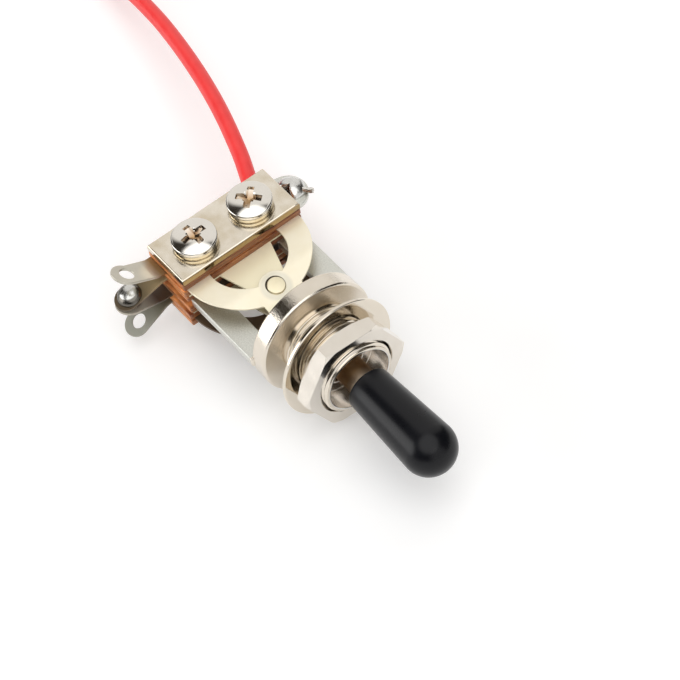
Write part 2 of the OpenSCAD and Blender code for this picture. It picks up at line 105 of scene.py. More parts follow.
tail_stops = np.array([[-108, 18.6, -8.4], [-111, 18.2, -8.4], [-114, 17.7, -8.4]])


def linear(code):
    """Linear colour of an sRGB hex value: ((c + 0.055) / 1.055) to the power 2.4, or c / 12.92 if dark."""
    c = np.array([int(code[k:k + 2], 16) for k in (1, 3, 5)]) / 255
    return (*np.where(c > 0.04045, ((c + 0.055) / 1.055) ** 2.4, c / 12.92).tolist(), 1.0)


def add(tree, kind, settings=None, **inputs):
    """Adds one node with its settings; an input takes a value, another node or that node's socket."""
    node = tree.nodes.new("ShaderNode" + kind)
    for name, value in (settings or {}).items():
        setattr(node, name, value)
    for name, value in inputs.items():
        wanted = [s for s in node.inputs if s.enabled and name in (s.identifier, s.name.replace(" ", "_"))]
        if isinstance(value, bpy.types.Node):
            value = next(s for s in value.outputs if s.enabled)
        if isinstance(value, bpy.types.NodeSocket):
            tree.links.new(value, wanted[0])
        else:
            wanted[0].default_value = value
    return node


def new_finish(name):
    """Empty material with its node tree and the socket that gives Object coordinates in metres."""
    finish = bpy.data.materials.new(name)
    finish.use_nodes = True
    finish.node_tree.nodes.clear()
    return finish, finish.node_tree, add(finish.node_tree, "TexCoord").outputs["Object"]


def soft_step(start, end):
    """Edges of a soft step from 0 to 1 between two places that are given in mm."""
    return {"From_Min": start * MM, "From_Max": end * MM}


def quads(rows, columns, around_rows=False, around_columns=True):
    """Corners of the four-sided faces between neighbours of a grid, closed where it runs round."""
    i = np.arange(rows if around_rows else rows - 1)[:, None]
    j = np.arange(columns if around_columns else columns - 1)[None, :]
    below, beside = (i + 1) % rows, (j + 1) % columns
    corners = [i * columns + j, i * columns + beside, below * columns + beside, below * columns + j]
    return np.stack(corners, -1).reshape(-1, 4)


def piece(name, parts, finish, sharp=30):
    """One object from parts, each its points in mm and its groups of faces, welded at seams and poles."""
    points, faces = [], []
    for part_points, groups in parts:
        first = sum(map(len, points))
        faces += [face for group in groups for face in (group + first).tolist()]
        points.append(part_points)
    mesh = bpy.data.meshes.new(name)
    mesh.from_pydata((np.concatenate(points) * MM).tolist(), [], faces)
    work = bmesh.new()
    work.from_mesh(mesh)
    bmesh.ops.remove_doubles(work, verts=work.verts, dist=1e-4 * MM)
    work.to_mesh(mesh)
    work.free()
    mesh.polygons.foreach_set("use_smooth", np.ones(len(mesh.polygons), bool))
    mesh.set_sharp_from_angle(angle=np.radians(sharp))
    mesh.materials.append(finish)
    made = bpy.data.objects.new(name, mesh)
    bpy.context.scene.collection.objects.link(made)
    return made


def fit(made, body, slot, *nodes):
    """Fixes a piece to its body in place of the CAD nodes that it stands for."""
    if body:
        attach(made, body)
    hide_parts(*nodes)


def smooth_path(stops, between):
    """Curve through the stops: a cubic in each gap whose end slopes follow the neighbouring stops."""
    p = np.concatenate([[2 * stops[0] - stops[1]], stops, [2 * stops[-1] - stops[-2]]])
    t = np.linspace(0, 1, between, endpoint=False)[:, None]
    a, b, c, d = p[:-3, None], p[1:-2, None], p[2:-1, None], p[3:, None]
    curve = b + (c - a) * t / 2 + (2 * a - 5 * b + 4 * c - d) * t**2 / 2 + (3 * b - a - 3 * c + d) * t**3 / 2
    return np.concatenate([curve.reshape(-1, stops.shape[1]), stops[-1:]])


def path_axes(path):
    """Level side and upright direction at each point of a path, both square to its heading."""
    ahead = np.gradient(path, axis=0)
    ahead /= np.linalg.norm(ahead, axis=1, keepdims=True)
    side = np.cross(ahead, [0, 0, 1])
    side /= np.linalg.norm(side, axis=1, keepdims=True)
    return side, np.cross(side, ahead)


def swept(path, section):
    """Section carried along a path: path + side * u + up * v for each of its points, both ends closed."""
    side, up = path_axes(path)
    section = np.broadcast_to(section, (len(path), *section.shape[-2:]))
    points = path[:, None] + side[:, None] * section[..., :1] + up[:, None] * section[..., 1:]
    rows, columns = section.shape[:2]
    ring = np.arange(columns)
    ends = [ring[None, :], (ring[::-1] + (rows - 1) * columns)[None, :]]
    return points.reshape(-1, 3), [quads(rows, columns)[:, ::-1], *ends]


def disc_section(radius, sides):
    """Points of a circle: radius times (cos a, sin a) at even angles a."""
    angles = np.linspace(0, 2 * np.pi, sides, endpoint=False)
    return radius * np.stack([np.cos(angles), np.sin(angles)], 1)


def strands(path):
    """Twisted core: one straight strand, and six that circle it once in each length of twist."""
    side, up = path_axes(path)
    walked = np.concatenate([[0], np.cumsum(np.linalg.norm(np.diff(path, axis=0), axis=1))])
    bundle = [swept(path, disc_section(strand_d / 2, 10))]
    for k in range(6):
        angle = (2 * np.pi * (walked / strand_twist + k / 6))[:, None]
        lay = path + (core_d - strand_d) / 2 * (np.cos(angle) * side + np.sin(angle) * up)
        bundle.append(swept(lay, disc_section(strand_d / 2, 10)))
    return bundle


colour_mix = {"data_type": "RGBA"}

# Extruded vinyl: an even satin red with a faint waviness left by the die.
vinyl, tree, place = new_finish("extruded red vinyl")
waves = add(tree, "TexNoise", Vector=place, Scale=1 / (1.6 * MM), Detail=3)
shade = add(tree, "Mix", colour_mix, Factor=waves, A=linear("#F2292A"), B=linear("#FA4543"))
dust = add(tree, "TexNoise", Vector=place, Scale=1 / (0.25 * MM), Detail=2)
gloss = add(tree, "MapRange", Value=dust, To_Min=0.33, To_Max=0.5)
skin = add(tree, "Bump", Strength=0.35, Distance=0.03 * MM, Height=waves)
vinyl_shader = add(tree, "BsdfPrincipled", Base_Color=shade, Roughness=gloss, Normal=skin, IOR=1.53)
add(tree, "OutputMaterial", Surface=vinyl_shader)

# Tinned copper strands: grey white metal under an uneven film, and brown with flux at the ear.
tinned, tree, place = new_finish("tinned copper strands")
film = add(tree, "TexNoise", Vector=place, Scale=1 / (0.4 * MM), Detail=4)
clean = add(tree, "Mix", colour_mix, Factor=film, A=linear("#B9B6AF"), B=linear("#DEDCD6"))
along_x = add(tree, "SeparateXYZ", Vector=place).outputs["X"]
past_start = add(tree, "MapRange", Value=along_x, **soft_step(flux_start - 0.5, flux_start + 0.5))
before_end = add(tree, "MapRange", Value=along_x, **soft_step(flux_end + 0.4, flux_end - 0.4))
fluxed = add(tree, "Math", {"operation": "MULTIPLY"}, Value=past_start, Value_001=before_end)
shade = add(tree, "Mix", colour_mix, Factor=fluxed, A=clean, B=linear("#6E4F42"))
gloss = add(tree, "MapRange", Value=film, To_Min=0.18, To_Max=0.36)
tin_shader = add(tree, "BsdfPrincipled", Base_Color=shade, Metallic=1, Roughness=gloss)
add(tree, "OutputMaterial", Surface=tin_shader)

lead_path = smooth_path(lead_stops, 8)
lead = piece("red_lead_jacket", [swept(lead_path, disc_section(lead_d / 2, 28))], vinyl, 40)
core = piece("ear_wire_strands", strands(smooth_path(core_stops, 8)), tinned, 40)
tail = piece("lead_end_strands", strands(smooth_path(tail_stops, 10)), tinned, 40)
fit(lead, "frame", "red_vinyl", "red_lead")
fit(core, "frame", "tinned_copper", "ear_wire")
fit(tail, "frame", "tinned_copper", "lead_end")

# Cast frame: one zinc die casting with a threaded bushing, round flange, two rails, rear bridge and
# earth ear. Bushing and flange are turned bright after casting, the rails keep the die's frosty
# skin, and all of it is nickel plated.
thread_r = 6.0
thread_pitch = 0.8
thread_depth = 0.36
thread_start, start_runout, end_runout = 0.15, 0.4, 0.5
bushing_end, bushing_chamfer = 10.0, 0.45
mouth_r = 5.2
mouth_floor = 6.0
guide_r = 3.6
flange_r, flange_edge = 9.5, 0.4
flange_back = -3.0
pin_at = 2.0
spot_r, spot_depth = 1.15, 0.6
frame_top = 0.8
rail_inner, rail_outer = 5.85, 9.75
stack_front = -17.1
frame_back, frame_front = -25.7, -2.5
bridge_side, rail_end = 8.55, -17.6
ear_at = np.array([-24.25, 12.55])
ear_r, ear_root = 3.3, 1.0
lug_hole_r = 1.15
screw_at = np.array([[-21.6, -5.0], [-21.6, 5.0]])
stack_hole_r = 2.55
rail_edge, ear_edge = 0.14, 0.12


def rounded(corners, radii, closed=False, steps=6, hold=0.03):
    """Outline with an arc at each corner that touches both sides, and points that hold its two ends."""
    corners = np.array(corners, float)
    outline = []
    for k, (corner, radius) in enumerate(zip(corners, radii)):
        if radius == 0 or not closed and k in (0, len(corners) - 1):
            outline.append(corner[None])
            continue
        back = corners[k - 1] - corner
        on = corners[(k + 1) % len(corners)] - corner
        back, on = back / np.linalg.norm(back), on / np.linalg.norm(on)
        half = np.arccos(np.clip(back @ on, -1, 1)) / 2
        middle = corner + (back + on) / np.linalg.norm(back + on) * radius / np.sin(half)
        reach = radius / np.tan(half)
        first, last = corner + reach * back - middle, corner + reach * on - middle
        sweep = np.pi - 2 * half
        t = np.linspace(0, 1, steps + 1)[:, None]
        bow = middle + (np.sin((1 - t) * sweep) * first + np.sin(t * sweep) * last) / np.sin(sweep)
        outline += [corner[None] + (reach + hold) * back, bow, corner[None] + (reach + hold) * on]
    return np.concatenate(outline)


def turned(along, radius, angles, closed=False):
    """Turned surface: (along, radius * cos a, radius * sin a) over a profile's points and the angles a."""
    along, radius, angles = np.broadcast_arrays(along, radius, angles)
    points = np.stack([along, radius * np.cos(angles), radius * np.sin(angles)], -1)
    return points.reshape(-1, 3), [quads(*along.shape, around_rows=closed)]


def round_angles(columns):
    """Even angles once round, as one row."""
    return np.linspace(0, 2 * np.pi, columns, endpoint=False)[None, :]


def ridge(along, angles, pitch):
    """Height of a screw thread from 0 to 1: a cosine wave along the part that climbs one pitch a turn."""
    return 0.5 - 0.5 * np.cos(2 * np.pi * along / pitch - angles)


def arc(middle, radius, start, end, steps):
    """Arc about a middle: middle + radius * (cos a, sin a), a going evenly from start to end in degrees."""
    a = np.radians(np.linspace(start, end, steps + 1))
    return np.array(middle) + radius * np.stack([np.cos(a), np.sin(a)], 1)


def dense(outline, step):
    """Closed outline with points added evenly along each side that is longer than the step."""
    ahead = np.roll(outline, -1, 0) - outline
    count = np.maximum(np.ceil(np.linalg.norm(ahead, axis=1) / step).astype(int), 1)
    number = np.arange(count.sum()) - np.repeat(np.cumsum(count) - count, count)
    share = number / np.repeat(count, count)
    return np.repeat(outline, count, 0) + np.repeat(ahead, count, 0) * share[:, None]


def inset(outline, by):
    """Closed outline moved sideways into its material: each point goes along the mean of its two sides."""
    ahead = np.roll(outline, -1, 0) - outline
    ahead = ahead / np.linalg.norm(ahead, axis=1, keepdims=True)
    both = ahead + np.roll(ahead, 1, 0)
    across = np.stack([-both[:, 1], both[:, 0]], 1)
    return outline + 2 * by * across / (across**2).sum(1, keepdims=True)


def inside(points, outlines):
    """True for a point from which a line to the right crosses the outlines an odd number of times."""
    a = np.concatenate(outlines)
    b = np.concatenate([np.roll(outline, -1, 0) for outline in outlines])
    x, y = points[:, :1], points[:, 1:]
    spans = (a[:, 1] > y) != (b[:, 1] > y)
    rise = np.where(a[:, 1] == b[:, 1], 1, b[:, 1] - a[:, 1])
    crossing = a[:, 0] + (y - a[:, 1]) * (b[:, 0] - a[:, 0]) / rise
    return (spans & (x < crossing)).sum(1) % 2 == 1


def plate(outlines, low, high, edge, inner=np.zeros((0, 2))):
    """Flat sheet: its outlines carried round a section with rounded edges, and its two faces filled with
    triangles between them. The first outline runs anticlockwise and holes run clockwise."""
    turn = np.linspace(0, np.pi / 2, 5)
    hold = 0.04
    top = np.stack([edge - edge * np.sin(turn), high - edge + edge * np.cos(turn)], 1)
    bottom = np.stack([edge - edge * np.cos(turn), low + edge - edge * np.sin(turn)], 1)
    section = np.concatenate([[[edge + hold, high]], top, bottom, [[edge + hold, low]]])
    points, walls, rims, feet = [], [], [], []
    first = 0
    for outline in outlines:
        rows = [np.column_stack([inset(outline, by), np.full(len(outline), level)]) for by, level in section]
        points += rows
        walls.append(quads(len(rows), len(outline))[:, ::-1] + first)
        rims.append(first + np.arange(len(outline)))
        feet.append(first + (len(rows) - 1) * len(outline) + np.arange(len(outline)))
        first += len(rows) * len(outline)
    rings = [inset(outline, edge + hold) for outline in outlines]
    inner = inner[inside(inner, rings)]
    flat = np.concatenate([*rings, inner])
    above = np.concatenate([*rims, first + np.arange(len(inner))])
    below = np.concatenate([*feet, first + len(inner) + np.arange(len(inner))])
    points += [np.column_stack([inner, np.full(len(inner), level)]) for level in (high, low)]
    starts = np.cumsum([0] + [len(ring) for ring in rings])
    sides = np.concatenate([
        np.stack([np.arange(a, b), np.roll(np.arange(a, b), -1)], 1) for a, b in zip(starts[:-1], starts[1:])
    ])
    filled = delaunay_2d_cdt([Vector(p) for p in flat], sides.tolist(), [], 0, 1e-7)
    source = np.array([number[0] for number in filled[3]])
    faces = source[np.array(filled[2])]
    faces = faces[inside(flat[faces].mean(1), rings)]
    return np.concatenate(points), [*walls, above[faces], below[faces[:, ::-1]]]


# Nickel on a zinc casting: bright where it was turned, satin on the flange's face and grainy on its
# rim, frosty grey where the die's skin is left, painted darker deep in the mouth as shade in the bore,
# and painted dark at the back of the window as shade.
cast_nickel, tree, place = new_finish("nickel plated zinc casting")
split = add(tree, "SeparateXYZ", Vector=place).outputs
bright = add(tree, "MapRange", {"interpolation_type": "SMOOTHSTEP"}, Value=split["X"],
             **soft_step(flange_back - 0.25, flange_back))
spread = add(tree, "VectorMath", {"operation": "MULTIPLY"}, Vector=place, Vector_001=(0, 1, 1))
from_axis = add(tree, "VectorMath", {"operation": "LENGTH"}, Vector=spread).outputs["Value"]
outside = add(tree, "MapRange", Value=from_axis, **soft_step(mouth_r + 0.05, mouth_r + 0.2))
on_flange = add(tree, "MapRange", Value=from_axis, **soft_step(thread_r + 0.02, thread_r + 0.2))
on_rim = add(tree, "MapRange", Value=from_axis, **soft_step(flange_r - 0.4, flange_r - 0.1))
cloud = add(tree, "TexNoise", Vector=place, Scale=1 / (2.2 * MM), Detail=5)
grit = add(tree, "TexNoise", Vector=place, Scale=1 / (0.2 * MM), Detail=3)
frosty = add(tree, "Mix", colour_mix, Factor=grit, A=linear("#B4B5AD"), B=linear("#F2F2EB"))
plated = add(tree, "Mix", colour_mix, Factor=cloud, A=linear("#DAD1C2"), B=linear("#E6DED2"))
# Painted shade: the bore's colour is darker deep in the mouth and paler towards its rim.
shallow = add(tree, "MapRange", Value=split["X"], **soft_step(mouth_floor + 0.2, mouth_floor + 1.4))
mouth = add(tree, "Mix", colour_mix, Factor=shallow, A=linear("#D0C8BE"), B=linear("#EEECE9"))
clean = add(tree, "Mix", colour_mix, Factor=outside, A=mouth, B=plated)
metal = add(tree, "Mix", colour_mix, Factor=bright, A=frosty, B=clean)
# Painted shade: the back wall of the window between the rails is coloured dark.
across = add(tree, "Math", {"operation": "ABSOLUTE"}, Value=split["Y"])
between_rails = add(tree, "MapRange", Value=across, **soft_step(rail_inner + 0.15, rail_inner - 0.15))
from_front = add(tree, "MapRange", Value=split["X"], **soft_step(stack_front + 0.4, stack_front + 0.2))
to_back = add(tree, "MapRange", Value=split["X"], **soft_step(stack_front - 0.9, stack_front - 0.5))
on_wall = add(tree, "Math", {"operation": "MULTIPLY"}, Value=from_front, Value_001=to_back)
window_wall_painted_shade = add(tree, "Math", {"operation": "MULTIPLY"}, Value=on_wall, Value_001=between_rails)
shade = add(tree, "Mix", colour_mix, Factor=window_wall_painted_shade, A=metal, B=linear("#4A4038"))
smooth_gloss = add(tree, "MapRange", Value=cloud, From_Min=0.3, From_Max=0.75, To_Min=0.08, To_Max=0.2)
face_gloss = add(tree, "Mix", Factor=on_rim, A=0.27, B=smooth_gloss)
outer_gloss = add(tree, "Mix", Factor=on_flange, A=smooth_gloss, B=face_gloss)
turned_gloss = add(tree, "Mix", Factor=outside, A=0.2, B=outer_gloss)
gloss = add(tree, "Mix", Factor=bright, A=0.36, B=turned_gloss)
turned_depth = add(tree, "MapRange", Value=on_rim, To_Min=0.012, To_Max=0.34)
depth = add(tree, "Mix", Factor=bright, A=0.4, B=turned_depth)
skin = add(tree, "Bump", Strength=depth, Distance=0.1 * MM, Height=grit)
cast_shader = add(tree, "BsdfPrincipled", Base_Color=shade, Metallic=1, Roughness=gloss, Normal=skin)
add(tree, "OutputMaterial", Surface=cast_shader)

around = round_angles(192)
back = rounded(
    [(flange_back, guide_r), (flange_back, flange_r), (0, flange_r), (0, thread_r - thread_depth)],
    [0, flange_edge, flange_edge, 0],
)
front = rounded(
    [(bushing_end, thread_r - bushing_chamfer), (bushing_end, mouth_r), (mouth_floor, mouth_r),
     (mouth_floor, guide_r), (flange_back, guide_r)],
    [0, 0.12, 0.15, 0.2, 0],
)
along = np.linspace(0.02, bushing_end - 0.03, 320)[:, None]
runout = np.clip((along - thread_start) / start_runout, 0, 1)
runout = runout * np.clip((bushing_end - along) / end_runout, 0, 1)
thread = thread_r - thread_depth + thread_depth * runout * ridge(along, around, thread_pitch)
pin_angle = np.minimum(np.abs(around), np.minimum(np.abs(around - np.pi), np.abs(around - 2 * np.pi)))
from_pin = np.hypot(along - pin_at, thread_r * pin_angle)
thread = np.where(from_pin < spot_r, np.minimum(thread, thread_r - spot_depth), thread)
level_ring = np.ones_like(around)
bushing_along = np.concatenate([back[:, :1], along, front[:, :1]])
bushing_radius = np.concatenate([back[:, 1:] * level_ring, thread, front[:, 1:] * level_ring])
bushing = turned(bushing_along, bushing_radius, around, closed=True)
window_front = flange_back + 0.1
window = rounded(
    [(stack_front, -rail_inner), (stack_front, rail_inner), (window_front, rail_inner),
     (window_front, -rail_inner)],
    [0.3, 0.3, 2, 2], closed=True, steps=10,
)
rails = rounded(
    [(frame_back, -bridge_side), (rail_end, -bridge_side), (rail_end, -rail_outer),
     (frame_front, -rail_outer), (frame_front, rail_outer), (frame_back, rail_outer)],
    [0.5, 0.2, 0.2, 0.4, 0.4, 0.5], closed=True,
)
holes = [arc(at, stack_hole_r, 360, 0, 48)[:-1] for at in screw_at]
rail_plate = plate([dense(rails, 1), dense(window, 1), *holes], -frame_top, frame_top, rail_edge)
ear_root_y = rail_outer - ear_root - ear_at[1]
ear_outline = np.concatenate([
    [ear_at + [-ear_r, ear_root_y], ear_at + [ear_r, ear_root_y]],
    arc(ear_at, ear_r, 0, 180, 36),
])
ear_hole = arc(ear_at, lug_hole_r, 360, 0, 36)[:-1]
ear = plate([dense(ear_outline, 0.8), ear_hole], -frame_top, 0, ear_edge)
cast_frame = piece("cast_frame_body", [bushing, rail_plate, ear], cast_nickel, 50)
fit(cast_frame, "frame", "nickel_zinc", "cast_frame")

# Lever: a turned and plated steel rod that rocks on a pin pressed across the bushing. Its thin tail
# behind the pivot carries a moulded nylon bead that pushes the leaves.
lever_r = 2.25
lever_tail_r, bead_gap = 1.0, 0.02
lever_tail, lever_neck, lever_shoulder, lever_end = -6.8, -2.6, -1.0, 19.9
bead_low, bead_high = np.array(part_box("lever_bead")) / MM
bead_r = bead_high[2]
bead_middle = (bead_low[0] + bead_high[0]) / 2
bead_half = bead_high[0] - bead_middle

# Plain drawn steel: greyer and a little duller than the plated parts.
plain_steel, tree, place = new_finish("bright drawn steel")
film = add(tree, "TexNoise", Vector=place, Scale=1 / (0.8 * MM), Detail=5)
shade = add(tree, "Mix", colour_mix, Factor=film, A=linear("#B4B0AA"), B=linear("#D9D6D0"))
gloss = add(tree, "MapRange", Value=film, To_Min=0.14, To_Max=0.3)
steel_shader = add(tree, "BsdfPrincipled", Base_Color=shade, Metallic=1, Roughness=gloss)
add(tree, "OutputMaterial", Surface=steel_shader)

# Nickel on the lever: painted brown where the rod lies in the mouth, as the reflection of the mouth's
# lit walls, and pale towards the tip.
lever_nickel, tree, place = new_finish("worn nickel plate")
film = add(tree, "TexNoise", Vector=place, Scale=1 / (1.2 * MM), Detail=4)
# Painted reflection: the rod is brown in the mouth and pale nickel past the bushing's end.
mouth_brown_painted = add(tree, "Mix", colour_mix, Factor=film, A=linear("#A87E50"), B=linear("#CDAE86"))
along_x = add(tree, "SeparateXYZ", Vector=place).outputs["X"]
past_mouth_rim = add(tree, "MapRange", Value=along_x, **soft_step(bushing_end - 0.2, bushing_end + 2.2))
shade = add(tree, "Mix", colour_mix, Factor=past_mouth_rim, A=mouth_brown_painted, B=linear("#D2C9BC"))
gloss = add(tree, "MapRange", Value=film, To_Min=0.34, To_Max=0.5)
lever_nickel_shader = add(tree, "BsdfPrincipled", Base_Color=shade, Metallic=1, Roughness=gloss)
add(tree, "OutputMaterial", Surface=lever_nickel_shader)

# Natural nylon: milky off-white and satin, faintly mottled.
nylon, tree, place = new_finish("natural nylon")
film = add(tree, "TexNoise", Vector=place, Scale=1 / (0.5 * MM), Detail=3)
shade = add(tree, "Mix", colour_mix, Factor=film, A=linear("#DDD6C4"), B=linear("#EFEADC"))
nylon_shader = add(tree, "BsdfPrincipled", Base_Color=shade, Roughness=0.42, IOR=1.53)
add(tree, "OutputMaterial", Surface=nylon_shader)

around = round_angles(72)
rod = rounded(
    [(lever_tail, 0), (lever_tail, lever_tail_r), (lever_neck, lever_tail_r), (lever_shoulder, lever_r),
     (lever_end, lever_r), (lever_end, 0)],
    [0, 0.15, 0.4, 0.4, 0.2, 0],
)
lever = piece("lever_rod", [turned(rod[:, :1], rod[:, 1:], around)], lever_nickel)
fit(lever, "lever", "nickel_steel", "lever")
sweep = np.arccos(bead_half / bead_r)
ball_turn = np.linspace(np.pi - sweep, sweep, 25)
ball = np.stack([bead_middle + bead_r * np.cos(ball_turn), bead_r * np.sin(ball_turn)], 1)
bore_r = lever_tail_r + bead_gap
bore = np.array([[bead_high[0], bore_r], [bead_low[0], bore_r]])
bead_profile = np.concatenate([ball, bore])
bead_part = turned(bead_profile[:, :1], bead_profile[:, 1:], around, closed=True)
bead = piece("lever_bead_ball", [bead_part], nylon)
fit(bead, "lever", "nylon", "lever_bead")
pin_low, pin_high = np.array(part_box("pivot_pin")) / MM
pin_r = (pin_high[2] - pin_low[2]) / 2
pin_line = rounded(
    [(pin_low[1], 0), (pin_low[1], pin_r), (pin_high[1], pin_r), (pin_high[1], 0)],
    [0, 0.15, 0.15, 0],
)
pin_points, pin_faces = turned(pin_line[:, :1], pin_line[:, 1:], around)
pin_points = np.roll(pin_points, 1, axis=1) + [pin_at, 0, 0]
pin = piece("pivot_pin_rod", [(pin_points, pin_faces)], plain_steel)
fit(pin, "frame", "plain_steel", "pivot_pin")

# Lever tip: a black plastic cap, injection moulded and pushed on the lever. It is a slim cone with a
# ball end and a small broken edge at its base.
tip_base, tip_ball = 11.9, 25.9
tip_base_r, tip_end_r = 3.5, 4.2
socket_r, socket_floor = 2.27, 19.92

# Moulded black plastic: a satin skin that shows soft reflections and faint flow marks.
black_plastic, tree, place = new_finish("moulded black plastic")
flow = add(tree, "TexNoise", Vector=place, Scale=1 / (4 * MM), Detail=3)
shade = add(tree, "Mix", colour_mix, Factor=flow, A=linear("#090A0E"), B=linear("#0F1015"))
grain = add(tree, "TexNoise", Vector=place, Scale=1 / (0.14 * MM), Detail=3)
gloss = add(tree, "MapRange", Value=flow, To_Min=0.24, To_Max=0.33)
skin = add(tree, "Bump", Strength=0.12, Distance=0.012 * MM, Height=grain)
tip_shader = add(tree, "BsdfPrincipled", Base_Color=shade, Roughness=gloss, Normal=skin, IOR=1.5,
                 Specular_IOR_Level=0.25)
add(tree, "OutputMaterial", Surface=tip_shader)

around = round_angles(96)
skirt = rounded(
    [(socket_floor, 0), (socket_floor, socket_r), (tip_base, socket_r), (tip_base, tip_base_r),
     (tip_ball, tip_end_r)],
    [0, 0, 0.08, 0.3, 0],
)
ball_turn = np.linspace(np.pi / 2, 0, 33)[1:]
dome = np.stack([tip_ball + tip_end_r * np.cos(ball_turn), tip_end_r * np.sin(ball_turn)], 1)
tip_profile = np.concatenate([skirt, dome])
tip = piece("lever_tip_cap", [turned(tip_profile[:, :1], tip_profile[:, 1:], around)], black_plastic)
fit(tip, "lever", "black_plastic", "lever_tip")

# Washer and nut: the pressed steel washer hangs loose and a little askew on the thread, and the thin
# hexagon nut holds the switch in its panel. Both are nickel plated.
washer_r, washer_bore, washer_t = 9.75, 6.3, 0.6
washer_at = 4.25
washer_lean, washer_swing = -1.9, 2.7
nut_low, nut_high = 6.35, 9.25
nut_af = 15.4
nut_bore = 6.05
nut_back_edge, nut_front_edge = 0.66, 0.35
nut_corner = -3.0


def turn_y(points, degrees):
    """Points turned about Y: x' = x cos a + z sin a, z' = z cos a - x sin a."""
    a = np.radians(degrees)
    return points @ np.array([[np.cos(a), 0, -np.sin(a)], [0, 1, 0], [np.sin(a), 0, np.cos(a)]])


def turn_z(points, degrees):
    """Points turned about Z: x' = x cos a - y sin a, y' = x sin a + y cos a."""
    a = np.radians(degrees)
    return points @ np.array([[np.cos(a), np.sin(a), 0], [-np.sin(a), np.cos(a), 0], [0, 0, 1]])


def hexagon_radius(angles, across_flats, corner):
    """Radius of a hexagon: half its width over cos of the angle from the nearest flat's middle."""
    from_flat = (angles - np.radians(corner)) % (np.pi / 3) - np.pi / 6
    return across_flats / 2 / np.cos(from_flat)


def hexagon_nut(low, high, across_flats, bore, corner, back_edge, front_edge):
    """Hexagon nut: rows of (along, radius) round the hexagon, its corners cut back by a cone at each end."""
    angles = np.radians(corner) + round_angles(6 * 30)
    six = hexagon_radius(angles, across_flats, corner)
    slope = np.tan(np.pi / 6)
    broken, hold, bore_land, bore_hold = 0.03, 0.08, 0.3, 0.04
    back_r = across_flats / np.sqrt(3) - back_edge / slope
    front_r = across_flats / np.sqrt(3) - front_edge / slope
    back_cut = np.clip(six - back_r, 0, None) * slope
    front_cut = np.clip(six - front_r, 0, None) * slope
    back_face, front_face = np.minimum(six, back_r), np.minimum(six, front_r)
    rows = [
        (low, bore + bore_land), (low, back_face - hold), (low, back_face - broken),
        (low + back_cut + broken, six), (low + back_cut + hold, six),
        (high - front_cut - hold, six), (high - front_cut - broken, six),
        (high, front_face - broken), (high, front_face - hold), (high, bore + front_edge + bore_hold),
        (high, bore + front_edge), (high - front_edge, bore), (low, bore),
    ]
    along = np.concatenate([np.broadcast_to(row[0], angles.shape) for row in rows])
    radius = np.concatenate([np.broadcast_to(row[1], angles.shape) for row in rows])
    return turned(along, radius, angles, closed=True)


# Bright nickel on pressed steel: a warm, faintly clouded mirror with a fine polished grain.
bright_nickel, tree, place = new_finish("bright nickel plate")
film = add(tree, "TexNoise", Vector=place, Scale=1 / (3 * MM), Detail=4)
shade = add(tree, "Mix", colour_mix, Factor=film, A=linear("#DBD2C3"), B=linear("#E6DED1"))
fine = add(tree, "TexNoise", Vector=place, Scale=1 / (0.12 * MM), Detail=4)
gloss = add(tree, "MapRange", Value=film, From_Min=0.35, From_Max=0.7, To_Min=0.06, To_Max=0.15)
skin = add(tree, "Bump", Strength=0.05, Distance=0.02 * MM, Height=fine)
nickel_shader = add(tree, "BsdfPrincipled", Base_Color=shade, Metallic=1, Roughness=gloss, Normal=skin)
add(tree, "OutputMaterial", Surface=nickel_shader)

# Scratched nickel: the nut's plate, dulled by spanners in fine crossing scratches, with painted shade
# in the mouth of its thread.
scratched_nickel, tree, place = new_finish("scratched nickel plate")
film = add(tree, "TexNoise", Vector=place, Scale=1 / (2.5 * MM), Detail=4)
clean = add(tree, "Mix", colour_mix, Factor=film, A=linear("#DCD5CA"), B=linear("#E8E2D9"))
spread = add(tree, "VectorMath", {"operation": "MULTIPLY"}, Vector=place, Vector_001=(0, 1, 1))
from_axis = add(tree, "VectorMath", {"operation": "LENGTH"}, Vector=spread).outputs["Value"]
# Painted shade: the bore's chamfer is coloured dark where the nut meets the bushing.
nut_bore_painted_shade = add(tree, "MapRange", Value=from_axis, **soft_step(nut_bore + 0.32, nut_bore + 0.16))
shade = add(tree, "Mix", colour_mix, Factor=nut_bore_painted_shade, A=clean, B=linear("#4A4237"))
long_scale = (1 / (4 * MM), 1 / (0.09 * MM), 1 / (0.09 * MM))
cross_scale = (1 / (0.12 * MM), 1 / (3 * MM), 1 / (3 * MM))
lengthwise = add(tree, "Mapping", Vector=place, Scale=long_scale)
along_marks = add(tree, "TexNoise", Vector=lengthwise, Scale=1, Detail=3)
crosswise = add(tree, "Mapping", Vector=place, Scale=cross_scale)
cross_marks = add(tree, "TexNoise", Vector=crosswise, Scale=1, Detail=3)
marks = add(tree, "Math", {"operation": "MINIMUM"}, Value=along_marks, Value_001=cross_marks)
gloss = add(tree, "MapRange", Value=film, From_Min=0.3, From_Max=0.7, To_Min=0.08, To_Max=0.17)
skin = add(tree, "Bump", Strength=0.22, Distance=0.02 * MM, Height=marks)
scratched_shader = add(tree, "BsdfPrincipled", Base_Color=shade, Metallic=1, Roughness=gloss, Normal=skin)
add(tree, "OutputMaterial", Surface=scratched_shader)

